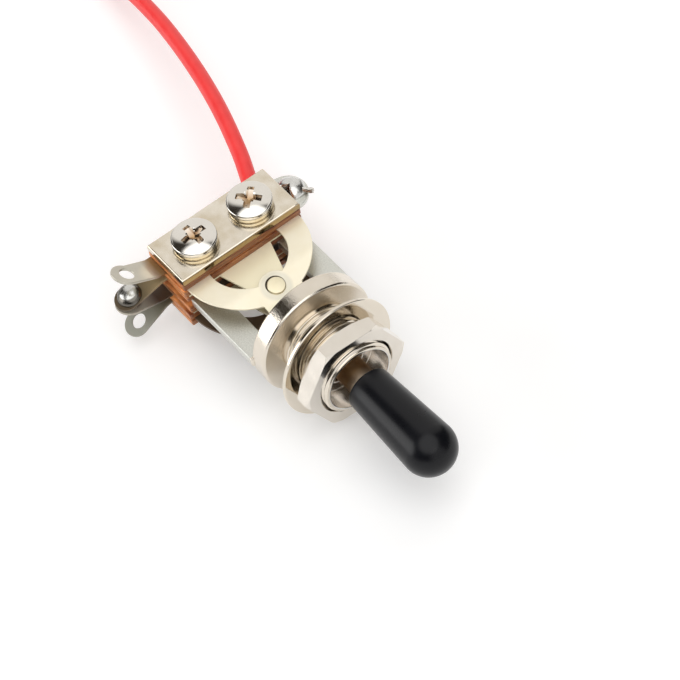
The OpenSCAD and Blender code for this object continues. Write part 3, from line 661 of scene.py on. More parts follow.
around = round_angles(160)
rim = rounded(
    [(0, washer_bore), (0, washer_r), (washer_t, washer_r), (washer_t, washer_bore)],
    [0.1, 0.15, 0.15, 0.1], closed=True,
)
disc, disc_faces = turned(rim[:, :1], rim[:, 1:], around, closed=True)
disc = turn_z(turn_y(disc, washer_lean), washer_swing) + [washer_at, 0, 0]
washer = piece("panel_washer_disc", [(disc, disc_faces)], bright_nickel)
fit(washer, "frame", "nickel_steel", "panel_washer")
nut_part = hexagon_nut(nut_low, nut_high, nut_af, nut_bore, nut_corner, nut_back_edge, nut_front_edge)
nut = piece("hex_nut_body", [nut_part], scratched_nickel, 20)
fit(nut, "frame", "nickel_steel", "hex_nut")

# Insulators: six sheets of paper-filled phenolic, sawn to size and punched for the screws. They keep
# the leaves apart in the stack and lie a hair out of line with each other.
sheet_edge, sheet_corner, sheet_gap = 0.07, 0.2, 0.01
sheet_slip = [(0, 0), (0.05, -0.1), (-0.1, 0.15), (0.1, 0.2), (0, -0.12), (0.05, -0.05)]

# Phenolic paper: brown orange, in layers that show along the sawn edges, drawn thicker than the real
# ones so that they do, and painted dark as shade on the front that faces the leaves.
phenolic, tree, place = new_finish("paper filled phenolic sheet")
layer_scale = (1 / (5 * MM), 1 / (5 * MM), 1 / (0.2 * MM))
stretched = add(tree, "Mapping", Vector=place, Scale=layer_scale)
layers = add(tree, "TexNoise", Vector=stretched, Scale=1, Detail=4, Roughness=0.6)
spread = add(tree, "MapRange", Value=layers, From_Min=0.35, From_Max=0.6)
sawn = add(tree, "Mix", colour_mix, Factor=spread, A=linear("#742806"), B=linear("#FFAA64"))
along_x = add(tree, "SeparateXYZ", Vector=place).outputs["X"]
# Painted shade: the sheets' front faces are coloured dark.
sheet_front_painted_shade = add(tree, "MapRange", Value=along_x, To_Max=0.65,
            **soft_step(stack_front - 0.45, stack_front - 0.12))
shade = add(tree, "Mix", colour_mix, Factor=sheet_front_painted_shade, A=sawn, B=linear("#5A2E16"))
gloss = add(tree, "MapRange", Value=layers, To_Min=0.35, To_Max=0.6)
skin = add(tree, "Bump", Strength=0.4, Distance=0.04 * MM, Height=layers)
paper_shader = add(tree, "BsdfPrincipled", Base_Color=shade, Roughness=gloss, Normal=skin, IOR=1.6)
add(tree, "OutputMaterial", Surface=paper_shader)

for number, slip in enumerate(sheet_slip, 1):
    name = f"insulator_{number}"
    low, high = np.array(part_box(name)) / MM
    sides = [(low[0], low[1]), (high[0], low[1]), (high[0], high[1]), (low[0], high[1])]
    edge_line = dense(rounded(sides, [sheet_corner] * 4, closed=True), 1)
    punched = [arc(at, stack_hole_r, 360, 0, 40)[:-1] for at in screw_at]
    points, faces = plate([edge_line, *punched], low[2] + sheet_gap, high[2] - sheet_gap, sheet_edge)
    sheet = piece(f"{name}_sheet", [(points + [*slip, 0], faces)], phenolic)
    fit(sheet, "frame", "phenolic", name)

# Spring leaves and blades: stamped from spring bronze and plated pale. Each leaf is a horseshoe with
# an eye and a tab that slopes to the lever, each blade a tapered tongue inside it, and all four run
# out to a bent solder lug.
leaf_t, leaf_edge = 0.4, 0.07
leaf_mid, blade_mid = 3.4, 2.0
pad_back, pad_side = -25.8, 10.05
horseshoe_r = 10.05
opening_at, opening_r, opening_root = -16.4, 6.1, 0.4
contact_at = -9.2
eye_r = 2.6
# Painted shadow behind the rivet: its radius, and how far behind the rivet it lies.
rivet_shadow_r, rivet_shadow_back = 1.5, 0.2
tab_half, tab_end = 3.4, -4.2
tab_bend, tab_slope, tab_bend_spread = -11.1, 12.0, 1.4
blade_root, blade_nose, nose_turn = 4.6, 2.15, 72
lug_at = -23.95
lug_left, lug_right = -25.75, -21.85
lug_bend, lug_bend_spread = -11.55, 0.9
lug_round = np.array([lug_at, -16.65])
lug_r = 2.1
lug_hole = np.array([lug_at, -16.25])
lug_slopes = {"upper_spring_leaf": 28, "upper_blade": -15, "lower_blade": -13, "lower_spring_leaf": 28}
grid_low, grid_high, grid_step = (-26, -18.5), (-4, 10), 0.6

# Plated spring bronze: a pale cream metal, rolled satin, with faint streaks along the strip. The blade
# is yellower, the eye is painted greyer round its rivet as shade on the bent tab, a painted shadow lies
# in a dark crescent just behind the rivet, and the lower leaf and blade are painted dark as shade. The
# lugs are grey where they were tinned and the top lug is brown by the stack; the blade lugs and the
# lower leaf's lug are painted dark as shade, darkest on the lower blade's neck and round the solder.
bronze, tree, place = new_finish("plated spring bronze")
streak_scale = (1 / (3.5 * MM), 1 / (0.25 * MM), 1 / (0.25 * MM))
stretched = add(tree, "Mapping", Vector=place, Scale=streak_scale)
streaks = add(tree, "TexNoise", Vector=stretched, Scale=1, Detail=4)
cloud = add(tree, "TexNoise", Vector=place, Scale=1 / (2.5 * MM), Detail=3)
cream = add(tree, "Mix", colour_mix, Factor=cloud, A=linear("#F6ECD0"), B=linear("#FFF8E4"))
tin_grey = add(tree, "Mix", colour_mix, Factor=cloud, A=linear("#B9B4A6"), B=linear("#D8D3C6"))
split = add(tree, "SeparateXYZ", Vector=place).outputs
inboard = add(tree, "MapRange", Value=split["Y"], **soft_step(-pad_side - 0.4, -pad_side - 0.2))
upper = add(tree, "MapRange", Value=split["Z"], **soft_step(-blade_mid - 0.8, -blade_mid + 0.6))
between_sheets = soft_step(blade_mid + 0.5, leaf_mid - 0.5)
on_leaf = add(tree, "MapRange", Value=split["Z"], **between_sheets)
plated = add(tree, "Mix", colour_mix, Factor=on_leaf, A=linear("#FFF6D6"), B=cream)
level = add(tree, "VectorMath", {"operation": "MULTIPLY"}, Vector=place, Vector_001=(1, 1, 0))
eye_at, rivet_shadow_at = (contact_at * MM, 0, 0), ((contact_at - rivet_shadow_back) * MM, 0, 0)
from_eye = add(tree, "VectorMath", {"operation": "DISTANCE"}, Vector=level, Vector_001=eye_at)
from_rivet_shadow = add(tree, "VectorMath", {"operation": "DISTANCE"}, Vector=level, Vector_001=rivet_shadow_at)
# Painted shade: the eye round the rivet is coloured greyer.
eye_painted_shade = add(tree, "MapRange", Value=from_eye.outputs["Value"], To_Max=0.6,
               **soft_step(eye_r, eye_r - 0.5))
# Painted shadow: a dark disc just behind the rivet shows as a crescent round it.
rivet_shadow_mask = add(tree, "MapRange", Value=from_rivet_shadow.outputs["Value"], **soft_step(rivet_shadow_r + 0.04, rivet_shadow_r - 0.04))
eye_shaded = add(tree, "Mix", colour_mix, Factor=eye_painted_shade, A=plated, B=linear("#DDDACB"))
rivet_shadowed = add(tree, "Mix", colour_mix, Factor=rivet_shadow_mask, A=eye_shaded, B=linear("#33291B"))
# Painted shade: the lower leaf and blade are coloured dark.
sheet_shade = add(tree, "Mix", colour_mix, Factor=upper, A=linear("#5C4A38"), B=rivet_shadowed)
near_stack = add(tree, "MapRange", Value=split["Y"], **soft_step(lug_bend - 1.15, lug_bend + 0.35))
on_neck = add(tree, "MapRange", Value=split["Y"], **soft_step(lug_bend - 4.5, lug_bend - 1))
on_upper_blade = add(tree, "MapRange", Value=split["Z"], **soft_step(-0.4, 0.2))
top_lug = add(tree, "Mix", colour_mix, Factor=near_stack, A=tin_grey, B=linear("#8A6E48"))
# Painted shade: the upper blade's lug is dark at its end, the lower blade's neck and the lower leaf's lug by
# the stack.
upper_blade_lug_shade = add(tree, "Mix", colour_mix, Factor=on_neck, A=linear("#5C4E3A"), B=linear("#9A8866"))
lower_blade_lug_shade = add(tree, "Mix", colour_mix, Factor=on_neck, A=linear("#B4AEA0"), B=linear("#3A281C"))
lower_leaf_lug_shade = add(tree, "Mix", colour_mix, Factor=on_neck, A=linear("#A09F93"), B=linear("#6A6553"))
blade_lugs = add(tree, "Mix", colour_mix, Factor=on_upper_blade, A=lower_blade_lug_shade, B=upper_blade_lug_shade)
high_lugs = add(tree, "Mix", colour_mix, Factor=on_leaf, A=blade_lugs, B=top_lug)
lugs = add(tree, "Mix", colour_mix, Factor=upper, A=lower_leaf_lug_shade, B=high_lugs)
shade = add(tree, "Mix", colour_mix, Factor=inboard, A=lugs, B=sheet_shade)
gloss = add(tree, "MapRange", Value=streaks, To_Min=0.28, To_Max=0.4)
skin = add(tree, "Bump", Strength=0.1, Distance=0.02 * MM, Height=streaks)
metal = add(tree, "MapRange", Value=split["Z"], To_Min=0.2, To_Max=0.55, **between_sheets)
bronze_shader = add(tree, "BsdfPrincipled", Base_Color=shade, Metallic=metal, Roughness=gloss, Normal=skin)
add(tree, "OutputMaterial", Surface=bronze_shader)


def bent(points, axis, sense, at, slope, middle, spread):
    """Sheet bent along one axis: past the bend its length runs on along the slope, which grows smoothly
    over the spread, and each point keeps its distance from the sheet's middle."""
    points = points.copy()
    s = sense * points[:, axis]
    steps = np.linspace(s.min(), s.max(), 4000)
    share = np.clip((steps - at) / spread + 0.5, 0, 1)
    lean = np.radians(slope) * share**2 * (3 - 2 * share)
    half_step = (steps[1] - steps[0]) / 2
    run = steps[0] + np.concatenate([[0], np.cumsum(np.cos(lean[1:]) + np.cos(lean[:-1])) * half_step])
    rise = np.concatenate([[0], np.cumsum(np.sin(lean[1:]) + np.sin(lean[:-1])) * half_step])
    off, tilt = points[:, 2] - middle, np.interp(s, steps, lean)
    points[:, axis] = sense * (np.interp(s, steps, run) - np.sin(tilt) * off)
    points[:, 2] = middle + np.interp(s, steps, rise) + np.cos(tilt) * off
    return points


def mirrored(points, faces):
    """The same part below the frame: z turned over, and the faces turned to point outwards again."""
    return points * [1, 1, -1], [group[:, ::-1] for group in faces]


def sheet_outline(front):
    """Outline of a leaf or blade laid flat: its pad and lug, then the front part given."""
    lug_side = np.degrees(np.arccos((lug_left - lug_at) / lug_r))
    lug_end = arc(lug_round, lug_r, lug_side, 360, 40)
    pad_end = [(pad_back, pad_side), (pad_back, -pad_side)]
    return np.concatenate([pad_end, lug_end, [(lug_right, -pad_side)], front])


def sheet_part(outlines, middle, lug_slope, tab):
    """Sheet filled on a fine grid, then bent at its lug and, on a leaf, at its tab."""
    grid_lines = [np.arange(low, high, grid_step) for low, high in zip(grid_low, grid_high)]
    grid = np.stack(np.meshgrid(*grid_lines), -1).reshape(-1, 2)
    gap = np.linalg.norm(grid[:, None] - np.concatenate(outlines)[None], axis=2).min(1)
    clear = grid[gap > grid_step / 2]
    points, faces = plate(outlines, middle - leaf_t / 2, middle + leaf_t / 2, leaf_edge, clear)
    points = bent(points, 1, -1, -lug_bend, lug_slope, middle, lug_bend_spread)
    if tab:
        points = bent(points, 0, 1, tab_bend, -tab_slope, middle, tab_bend_spread)
    return points, faces


tab_turn = np.degrees(np.arcsin(tab_half / horseshoe_r))
tab_corner = stack_front + horseshoe_r * np.cos(np.radians(tab_turn))
horseshoe = np.concatenate([
    arc((stack_front, 0), horseshoe_r, -90, -tab_turn, 40),
    rounded(
        [(tab_corner, -tab_half), (tab_end, -tab_half), (tab_end, tab_half), (tab_corner, tab_half)],
        [0, 0.7, 0.7, 0],
    )[1:-1],
    arc((stack_front, 0), horseshoe_r, tab_turn, 90, 40),
])
tongue = np.concatenate([
    [(stack_front, -pad_side), (stack_front, -blade_root)],
    arc((contact_at, 0), blade_nose, -nose_turn, nose_turn, 24),
    [(stack_front, blade_root), (stack_front, pad_side)],
])
eye_cross = ((contact_at - opening_at) ** 2 + opening_r**2 - eye_r**2) / (2 * (contact_at - opening_at))
open_turn = np.degrees(np.arccos(eye_cross / opening_r))
eye_turn = np.degrees(np.arccos((opening_at + eye_cross - contact_at) / eye_r))
root_turn = np.degrees(np.arccos((stack_front - opening_root - opening_at) / opening_r))
opening = np.concatenate([
    arc((opening_at, 0), opening_r, -root_turn, -open_turn, 30),
    arc((contact_at, 0), eye_r, 360 - eye_turn, eye_turn, 24)[1:-1],
    arc((opening_at, 0), opening_r, open_turn, root_turn, 30),
])[::-1]
stack_holes = [arc(at, stack_hole_r, 360, 0, 40)[:-1] for at in screw_at]
wire_hole = arc(lug_hole, lug_hole_r, 360, 0, 36)[:-1]
leaf_outlines = [dense(outline, grid_step) for outline in (sheet_outline(horseshoe), opening)]
leaf_lines = [*leaf_outlines, wire_hole, *stack_holes]
blade_lines = [dense(sheet_outline(tongue), grid_step), wire_hole, *stack_holes]

for name, slope in lug_slopes.items():
    is_leaf = name.endswith("leaf")
    lines, middle = (leaf_lines, leaf_mid) if is_leaf else (blade_lines, blade_mid)
    part = sheet_part(lines, middle, slope, is_leaf)
    if name.startswith("lower"):
        part = mirrored(*part)
    strip = piece(f"{name}_strip", [part], bronze)
    fit(strip, None if is_leaf else "frame", "plated_bronze", name)
    if is_leaf:
        side = name.split("_")[0]
        level = (leaf_mid if side == "upper" else -leaf_mid) * MM
        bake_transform(strip)

# Contact rivets: silver buttons headed over through the leaves' eyes and the blades' noses. The
# leaves' rivets ride on the contacts' bodies, and show a round flat-topped button outside.
button_r, button_h, button_crown, button_taper = 1.4, 0.42, 0.07, 0.06
shank_r = 0.6
facing_r, facing_h, facing_rim = 0.5, 0.24, 0.02
seat, seat_gap = leaf_t / 2, 0.01


def dress(node, finish):
    """Gives a CAD node that stays in the scene its finish."""
    node.data.materials.clear()
    node.data.materials.append(finish)


# Contact silver: warm white metal, polished by heading, with a slight bloom.
silver, tree, place = new_finish("contact silver")
bloom = add(tree, "TexNoise", Vector=place, Scale=1 / (0.9 * MM), Detail=4)
shade = add(tree, "Mix", colour_mix, Factor=bloom, A=linear("#DCD2B2"), B=linear("#EAE1C6"))
gloss = add(tree, "MapRange", Value=bloom, To_Min=0.24, To_Max=0.36)
silver_shader = add(tree, "BsdfPrincipled", Base_Color=shade, Metallic=1, Roughness=gloss)
add(tree, "OutputMaterial", Surface=silver_shader)

around = round_angles(64)
button = rounded(
    [(-seat - facing_h, 0), (-seat - facing_h, facing_r), (-seat - facing_rim, button_r),
     (-seat, shank_r), (seat, shank_r), (seat + seat_gap, button_r),
     (seat + button_h - button_crown, button_r - button_taper), (seat + button_h, 0)],
    [0, 0.3, 0.05, 0, 0, 0.02, 0.1, 0],
)
rivet, rivet_faces = turned(button[:, :1], button[:, 1:], around)
rivet = np.roll(rivet, -1, axis=1) + [contact_at - tab_bend, 0, 0]
rivet = turn_y(rivet, tab_slope) + [tab_bend, 0, leaf_mid]
for side, part in (("upper", (rivet, rivet_faces)), ("lower", mirrored(rivet, rivet_faces))):
    made = piece(f"{side}_spring_rivet", [part], silver)
    fit(made, f"{side}_contact", "contact_silver", f"{side}_spring_contact")
for name in ("upper_blade_contact", "lower_blade_contact"):
    dress(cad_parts[name], silver)

# Clamp plate and nut bar: two plated steel strips that squeeze the stack, with nylon sleeves between
# them that keep the screws off the leaves.
drill_r = 1.85
strip_edges = {"clamp_plate": (0.26, 0), "nut_bar": (0.16, 0.35)}

# Satin nickel: plate over brushed strip, so reflections smear across the brushing. It is mottled, and
# brown on the sheared front edge.
satin_nickel, tree, place = new_finish("satin nickel plate")
brush_scale = (1 / (0.1 * MM), 1 / (5 * MM), 1 / (0.1 * MM))
stretched = add(tree, "Mapping", Vector=place, Scale=brush_scale)
brushing = add(tree, "TexNoise", Vector=stretched, Scale=1, Detail=3)
film = add(tree, "TexNoise", Vector=place, Scale=1 / (3 * MM), Detail=4)
mottle = add(tree, "MapRange", Value=film, From_Min=0.3, From_Max=0.7)
plated = add(tree, "Mix", colour_mix, Factor=mottle, A=linear("#D3C7B1"), B=linear("#EAE3D6"))
plate_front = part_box("clamp_plate")[1][0] / MM
along_x = add(tree, "SeparateXYZ", Vector=place).outputs["X"]
sheared = add(tree, "MapRange", Value=along_x, **soft_step(plate_front - 0.09, plate_front - 0.02))
shade = add(tree, "Mix", colour_mix, Factor=sheared, A=plated, B=linear("#A78F68"))
gloss = add(tree, "MapRange", Value=film, From_Min=0.3, From_Max=0.7, To_Min=0.12, To_Max=0.24)
skin = add(tree, "Bump", Strength=0.08, Distance=0.02 * MM, Height=brushing)
satin_shader = add(tree, "BsdfPrincipled", Base_Color=shade, Metallic=1, Roughness=gloss, Normal=skin)
add(tree, "OutputMaterial", Surface=satin_shader)

for name, (edge, corner) in strip_edges.items():
    low, high = np.array(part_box(name)) / MM
    sides = [(low[0], low[1]), (high[0], low[1]), (high[0], high[1]), (low[0], high[1])]
    strip_line = dense(rounded(sides, [corner] * 4, closed=True), 1)
    drilled = [arc(at, drill_r, 360, 0, 40)[:-1] for at in screw_at]
    strip = piece(f"{name}_strip", [plate([strip_line, *drilled], low[2], high[2], edge)], satin_nickel)
    fit(strip, "frame", "nickel_steel", name)
dress(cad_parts["screw_sleeves"], nylon)

# Fasteners: two nickel plated steel screws with pan heads and cross recesses, on split washers of
# spring steel. They run through the stack into plain steel hexagon nuts below the bar.
split_r, split_bore = 3.3, 1.85
split_low, split_high, split_play = 5.9, 6.8, 0.02
split_at = 145.0
split_gap = 0.7
head_r = 3.45
head_low, head_rim, head_top = 6.8, 7.45, 8.12
lip_r, lip_drop, lip_start = 0.25, 0.24, 0.3
head_foot = [(0, 0.12), (0.08, 0.02), (0.15, 0)]
shank_screw_r = 1.75
screw_end, screw_end_chamfer, screw_thread_top = -9.7, 0.3, -5.7
screw_pitch, screw_thread_depth, screw_thread_step = 0.6, 0.28, 0.05
recess_half, recess_w, recess_depth, recess_rise = 1.9, 0.48, 1.2, 0.55
pit_r, pit_slope = 0.45, 2
recess_turns = [3.0, 42.0]
clamp_nut_low, clamp_nut_high = -8.7, -5.9
clamp_nut_af, clamp_nut_bore, clamp_nut_edge = 6, 1.8, 0.3

# Passivated spring steel: a yellow tinge that shows as a warm ring round each head.
yellowed, tree, place = new_finish("passivated steel")
film = add(tree, "TexNoise", Vector=place, Scale=1 / (0.8 * MM), Detail=4)
shade = add(tree, "Mix", colour_mix, Factor=film, A=linear("#CDBFA0"), B=linear("#F0E6CF"))
gloss = add(tree, "MapRange", Value=film, To_Min=0.1, To_Max=0.2)
yellowed_shader = add(tree, "BsdfPrincipled", Base_Color=shade, Metallic=1, Roughness=gloss)
add(tree, "OutputMaterial", Surface=yellowed_shader)

# Pale nickel on the screws: a whiter mirror than the nickel beside it, brown in the recess with oil and
# with painted reflection and shade.
pale_nickel, tree, place = new_finish("pale nickel plate")
film = add(tree, "TexNoise", Vector=place, Scale=1 / (2 * MM), Detail=4)
clean = add(tree, "Mix", colour_mix, Factor=film, A=linear("#DDD9D1"), B=linear("#EAE6DF"))
height = add(tree, "SeparateXYZ", Vector=place).outputs["Z"]
sunk = add(tree, "MapRange", Value=height, **soft_step(head_top - 0.45, head_top - 1.1))
in_head = add(tree, "MapRange", Value=height, **soft_step(head_low - 0.8, head_low - 0.4))
folded = add(tree, "VectorMath", {"operation": "ABSOLUTE"}, Vector=place)
from_screw = np.array([*np.abs(screw_at[0]), 0]) * MM
offset = add(tree, "VectorMath", {"operation": "SUBTRACT"}, Vector=folded, Vector_001=from_screw.tolist())
level = add(tree, "VectorMath", {"operation": "MULTIPLY"}, Vector=offset, Vector_001=(1, 1, 0))
reach = add(tree, "VectorMath", {"operation": "LENGTH"}, Vector=level).outputs["Value"]
near = add(tree, "MapRange", Value=reach, **soft_step(recess_half + 0.2, recess_half))
# Partly oil and partly painted reflection and shade: the recess is coloured brown.
in_recess = add(tree, "Math", {"operation": "MULTIPLY"}, Value=sunk, Value_001=near)
recess_oil_and_shade = add(tree, "Math", {"operation": "MULTIPLY"}, Value=in_recess, Value_001=in_head)
shade = add(tree, "Mix", colour_mix, Factor=recess_oil_and_shade, A=clean, B=linear("#A98A66"))
gloss = add(tree, "MapRange", Value=film, From_Min=0.3, From_Max=0.7, To_Min=0.07, To_Max=0.15)
pale_shader = add(tree, "BsdfPrincipled", Base_Color=shade, Metallic=1, Roughness=gloss)
add(tree, "OutputMaterial", Surface=pale_shader)

section = rounded(
    [(split_bore, split_play), (split_r, split_play), (split_r, split_high - split_low - split_play),
     (split_bore, split_high - split_low - split_play)],
    [0.1, 0.22, 0.22, 0.1], closed=True,
)
half_gap = np.degrees(split_gap / 2 / split_r)
turn = np.radians(split_at + np.linspace(half_gap, 360 - half_gap, 97))[:, None]
ring_points = np.stack([
    section[None, :, 0] * np.cos(turn), section[None, :, 0] * np.sin(turn),
    np.broadcast_to(section[None, :, 1], (len(turn), len(section))),
], -1).reshape(-1, 3)
ring_faces = quads(len(turn), len(section))
count = len(section)
ring_ends = [np.arange(count)[None, :], (np.arange(count)[::-1] + (len(turn) - 1) * count)[None, :]]
ring_groups = [ring_faces[:, ::-1], *(end[:, ::-1] for end in ring_ends)]
rings = [(ring_points + [*at, split_low], ring_groups) for at in screw_at]
washers = piece("spring_washers_split", rings, yellowed)
fit(washers, "frame", "plain_steel", "spring_washers")


def screw(turn):
    """Pan-head screw: a square grid over the recess that blends out to circles, then rings down the rim,
    under the head and along the threaded shank to its end."""
    ball = (head_r**2 + (head_top - head_rim) ** 2) / (2 * (head_top - head_rim))
    # The grid's lines on one side of the middle, in pairs where the recess has its walls.
    half_lines = np.array([0.14, 0.3, 0.43, 0.53, 0.66, 0.84, 1.05, 1.3, 1.55, 1.8, 1.97, 2.12])
    lines = np.concatenate([-half_lines[::-1], [0], half_lines])
    u, v = np.meshgrid(lines, lines, indexing="ij")

    def crown(r):
        """Height of the head at the distance r from its middle: a cap of the ball."""
        return head_top - ball + np.sqrt(ball**2 - np.minimum(r, head_r) ** 2)

    far, near = np.maximum(np.abs(u), np.abs(v)), np.minimum(np.abs(u), np.abs(v))
    in_arm = (near < recess_w) & (far < recess_half)
    floor = head_top - recess_depth + recess_rise * far / recess_half
    pit = crown(0) - np.clip(recess_depth - pit_slope * (np.hypot(u, v) - pit_r), 0, recess_depth)
    height = np.where(in_arm, floor, np.minimum(pit, crown(np.hypot(u, v))))
    cap = np.stack([u, v, height], -1).reshape(-1, 3)
    n = len(lines)
    near_side, far_side = np.full(n, lines[0]), np.full(n, lines[-1])
    edge = np.concatenate([
        np.stack([lines, near_side], 1)[:-1], np.stack([far_side, lines], 1)[:-1],
        np.stack([lines, far_side], 1)[:0:-1], np.stack([near_side, lines], 1)[:0:-1],
    ])
    out = edge / np.linalg.norm(edge, axis=1, keepdims=True)
    angle = np.arctan2(out[:, 1], out[:, 0])
    t = np.linspace(0, 1, 9)[:, None, None]
    skirt = (1 - t) * edge + t * out * (head_r - lip_r)
    rows = [np.concatenate([skirt, crown(np.linalg.norm(skirt, axis=2))[..., None]], -1)]
    lip = np.linspace(lip_start, np.pi / 2, 6)[1:]
    lip_top = crown(head_r - lip_r) - lip_drop
    profile = [(head_r - lip_r + lip_r * np.sin(a), lip_top + lip_r * np.cos(a)) for a in lip]
    profile += [(head_r, lip_top - 0.05)]
    profile += [(head_r - inward, head_low + up) for inward, up in head_foot]
    profile += [(shank_screw_r, head_low), (shank_screw_r, screw_thread_top)]
    thread_z = np.arange(screw_thread_top - screw_thread_step, screw_end + 0.1, -screw_thread_step)
    profile += [(shank_screw_r, z) for z in thread_z]
    profile += [(shank_screw_r - screw_end_chamfer, screw_end), (0.6, screw_end), (0.0, screw_end)]
    profile = np.array(profile)
    radius, level = np.broadcast_arrays(profile[:, :1], profile[:, 1:])
    cut = (level < screw_thread_top) & (level > screw_end + 0.02)
    groove = screw_thread_depth * (1 - ridge(level, angle[None, :], screw_pitch))
    radius = radius - np.where(cut, groove, 0)
    level = np.broadcast_to(level, radius.shape)
    rows.append(np.concatenate([radius[..., None] * out, level[..., None]], -1))
    rows = np.concatenate(rows)
    cap_faces = quads(n, n, around_columns=False)[:, ::-1]
    ring_faces = quads(*rows.shape[:2])[:, ::-1]
    return [(turn_z(cap, turn), [cap_faces]), (turn_z(rows.reshape(-1, 3), turn), [ring_faces])]


screw_parts = []
for at, recess_turn in zip(screw_at, recess_turns):
    screw_parts += [(points + [*at, 0], faces) for points, faces in screw(recess_turn)]
screws = piece("clamp_screws_pan", screw_parts, pale_nickel)
fit(screws, "frame", "nickel_steel", "clamp_screws")
nut_body, nut_faces = hexagon_nut(
    clamp_nut_low, clamp_nut_high, clamp_nut_af, clamp_nut_bore, 0, clamp_nut_edge, clamp_nut_edge,
)
nut_body = np.roll(nut_body, -1, axis=1)
clamp_nuts = piece("clamp_nuts_hex", [(nut_body + [*at, 0], nut_faces) for at in screw_at], plain_steel, 20)
fit(clamp_nuts, "frame", "plain_steel", "clamp_nuts")

# Solder joints: tin solder run through the two middle lugs, which it joins, and a lumpy mound set
# round the lead's core on the earth ear, with a plug of it down the ear's hole.
blob_r, blob_h = 1.95, 1.2
blob_skirt = 1.25
fill_depth = 2.13
ear_blob_r, ear_blob_h, ear_blob_off = 2.3, 1.5, 0.9
plug_r, plug_low, plug_high = 1.13, -0.75, -0.3
notch_at, notch_half, notch_share = 1.57 * np.pi, 0.62, 0.93

# Tin solder: bright lumpy metal above, dark brown below with flux and as painted shade in the ear's
# hole, and dark round the skirt of the joint on the lugs with flux and a painted dark reflection.
solder, tree, place = new_finish("bright tin solder")
film = add(tree, "TexNoise", Vector=place, Scale=1 / (0.7 * MM), Detail=4)
clean = add(tree, "Mix", colour_mix, Factor=film, A=linear("#C6C5C1"), B=linear("#E3E3E0"))
split = add(tree, "SeparateXYZ", Vector=place).outputs
level = add(tree, "VectorMath", {"operation": "MULTIPLY"}, Vector=place, Vector_001=(1, 1, 0))
joint_at = (lug_at * MM, lug_hole[1] * MM, 0)
from_joint = add(tree, "VectorMath", {"operation": "DISTANCE"}, Vector=level, Vector_001=joint_at)
# Partly flux and partly a painted dark reflection: the joint's skirt on the lugs is coloured dark.
on_skirt = add(tree, "MapRange", Value=from_joint.outputs["Value"], To_Max=0.85,
               **soft_step(blob_skirt - 0.1, blob_skirt + 0.1))
on_lugs = add(tree, "Math", {"operation": "LESS_THAN"}, Value=split["Y"], Value_001=0)
fluxed = add(tree, "Math", {"operation": "MULTIPLY"}, Value=on_skirt, Value_001=on_lugs)
tin = add(tree, "Mix", colour_mix, Factor=fluxed, A=clean, B=linear("#453D30"))
# Partly flux and partly painted shade: the solder low down, in the ear's hole, is coloured dark brown.
above = add(tree, "MapRange", Value=split["Z"], **soft_step(-0.28, -0.05))
shade = add(tree, "Mix", colour_mix, Factor=above, A=linear("#4A3524"), B=tin)
gloss = add(tree, "MapRange", Value=film, To_Min=0.16, To_Max=0.34)
skin = add(tree, "Bump", Strength=0.5, Distance=0.08 * MM, Height=film)
solder_shader = add(tree, "BsdfPrincipled", Base_Color=shade, Metallic=above, Roughness=gloss, Normal=skin)
add(tree, "OutputMaterial", Surface=solder_shader)


def mound(radius, rise, lumps, seed, notch=0):
    """Solder mound: height rise * sqrt(1 - s * s) over the radius share s, with a few seeded low waves, and
    drawn in by the share notch on the side of the stack."""
    rng = np.random.default_rng(seed)
    s = np.sin(np.linspace(0, np.pi / 2, 25))[::-1][:, None]
    a = round_angles(64)
    waves = np.zeros((s.size, a.size))
    for k in range(2, 6):
        waves = waves + rng.uniform(0.3, 1) / k * np.cos(k * a + rng.uniform(0, 6.28)) * s**2
    drawn_in = 1 - notch * np.exp(-(((a - notch_at) / notch_half) ** 4))
    reach = radius * s * drawn_in * (1 - lumps * np.abs(waves))
    height = rise * np.sqrt(1 - s**2) * (1 + lumps * waves)
    points = np.stack([reach * np.cos(a), reach * np.sin(a), np.broadcast_to(height, reach.shape)], -1)
    foot = np.arange(a.size)[::-1][None, :]
    return points.reshape(-1, 3), [quads(s.size, a.size), foot]


def turn_x(points, degrees):
    """Points turned about X: y' = y cos a - z sin a, z' = y sin a + z cos a."""
    a = np.radians(degrees)
    return points @ np.array([[1, 0, 0], [0, np.cos(a), np.sin(a)], [0, -np.sin(a), np.cos(a)]])


blob, blob_faces = mound(blob_r, blob_h, 0.05, 3)
on_lug = np.array([0, lug_hole[1] - lug_bend, leaf_t / 2])
lug_root, lug_lean = [lug_at, lug_bend, blade_mid], -lug_slopes["upper_blade"]
blob = turn_x(blob + on_lug, lug_lean) + lug_root
column = rounded(
    [(-fill_depth, 0), (-fill_depth, lug_hole_r), (0, lug_hole_r), (0, 0)],
    [0, 0.3, 0.1, 0],
)
fill, fill_faces = turned(column[:, :1], column[:, 1:], round_angles(40))
fill = turn_x(np.roll(fill, -1, axis=1) + on_lug, lug_lean) + lug_root
joint = piece("lug_solder_joint", [(blob, blob_faces), (fill, fill_faces)], solder, 60)
fit(joint, "frame", "solder", "lug_solder")
ear_blob, ear_faces = mound(ear_blob_r, ear_blob_h, 0.14, 5, notch_share)
plug_line = rounded(
    [(plug_low, 0), (plug_low, plug_r), (plug_high, plug_r), (plug_high - 0.1, 0)],
    [0, 0.2, 0.1, 0],
)
plug, plug_faces = turned(plug_line[:, :1], plug_line[:, 1:], round_angles(40))
plug = np.roll(plug, -1, axis=1) + [*ear_at, 0]
ear_parts = [(ear_blob + [ear_at[0], ear_at[1] + ear_blob_off, 0], ear_faces), (plug, plug_faces)]
ear_joint = piece("ear_solder_mound", ear_parts, solder, 60)
fit(ear_joint, "frame", "solder", "ear_solder")

# Bench and light: a plain white table top, and four soft boxes in a dim room, drawn as soft-edged
# patches of the sky.
bench_half = 3.0
bench_lift = 0.21
room_level = 0.045
bench_z = cad_box[0][2]

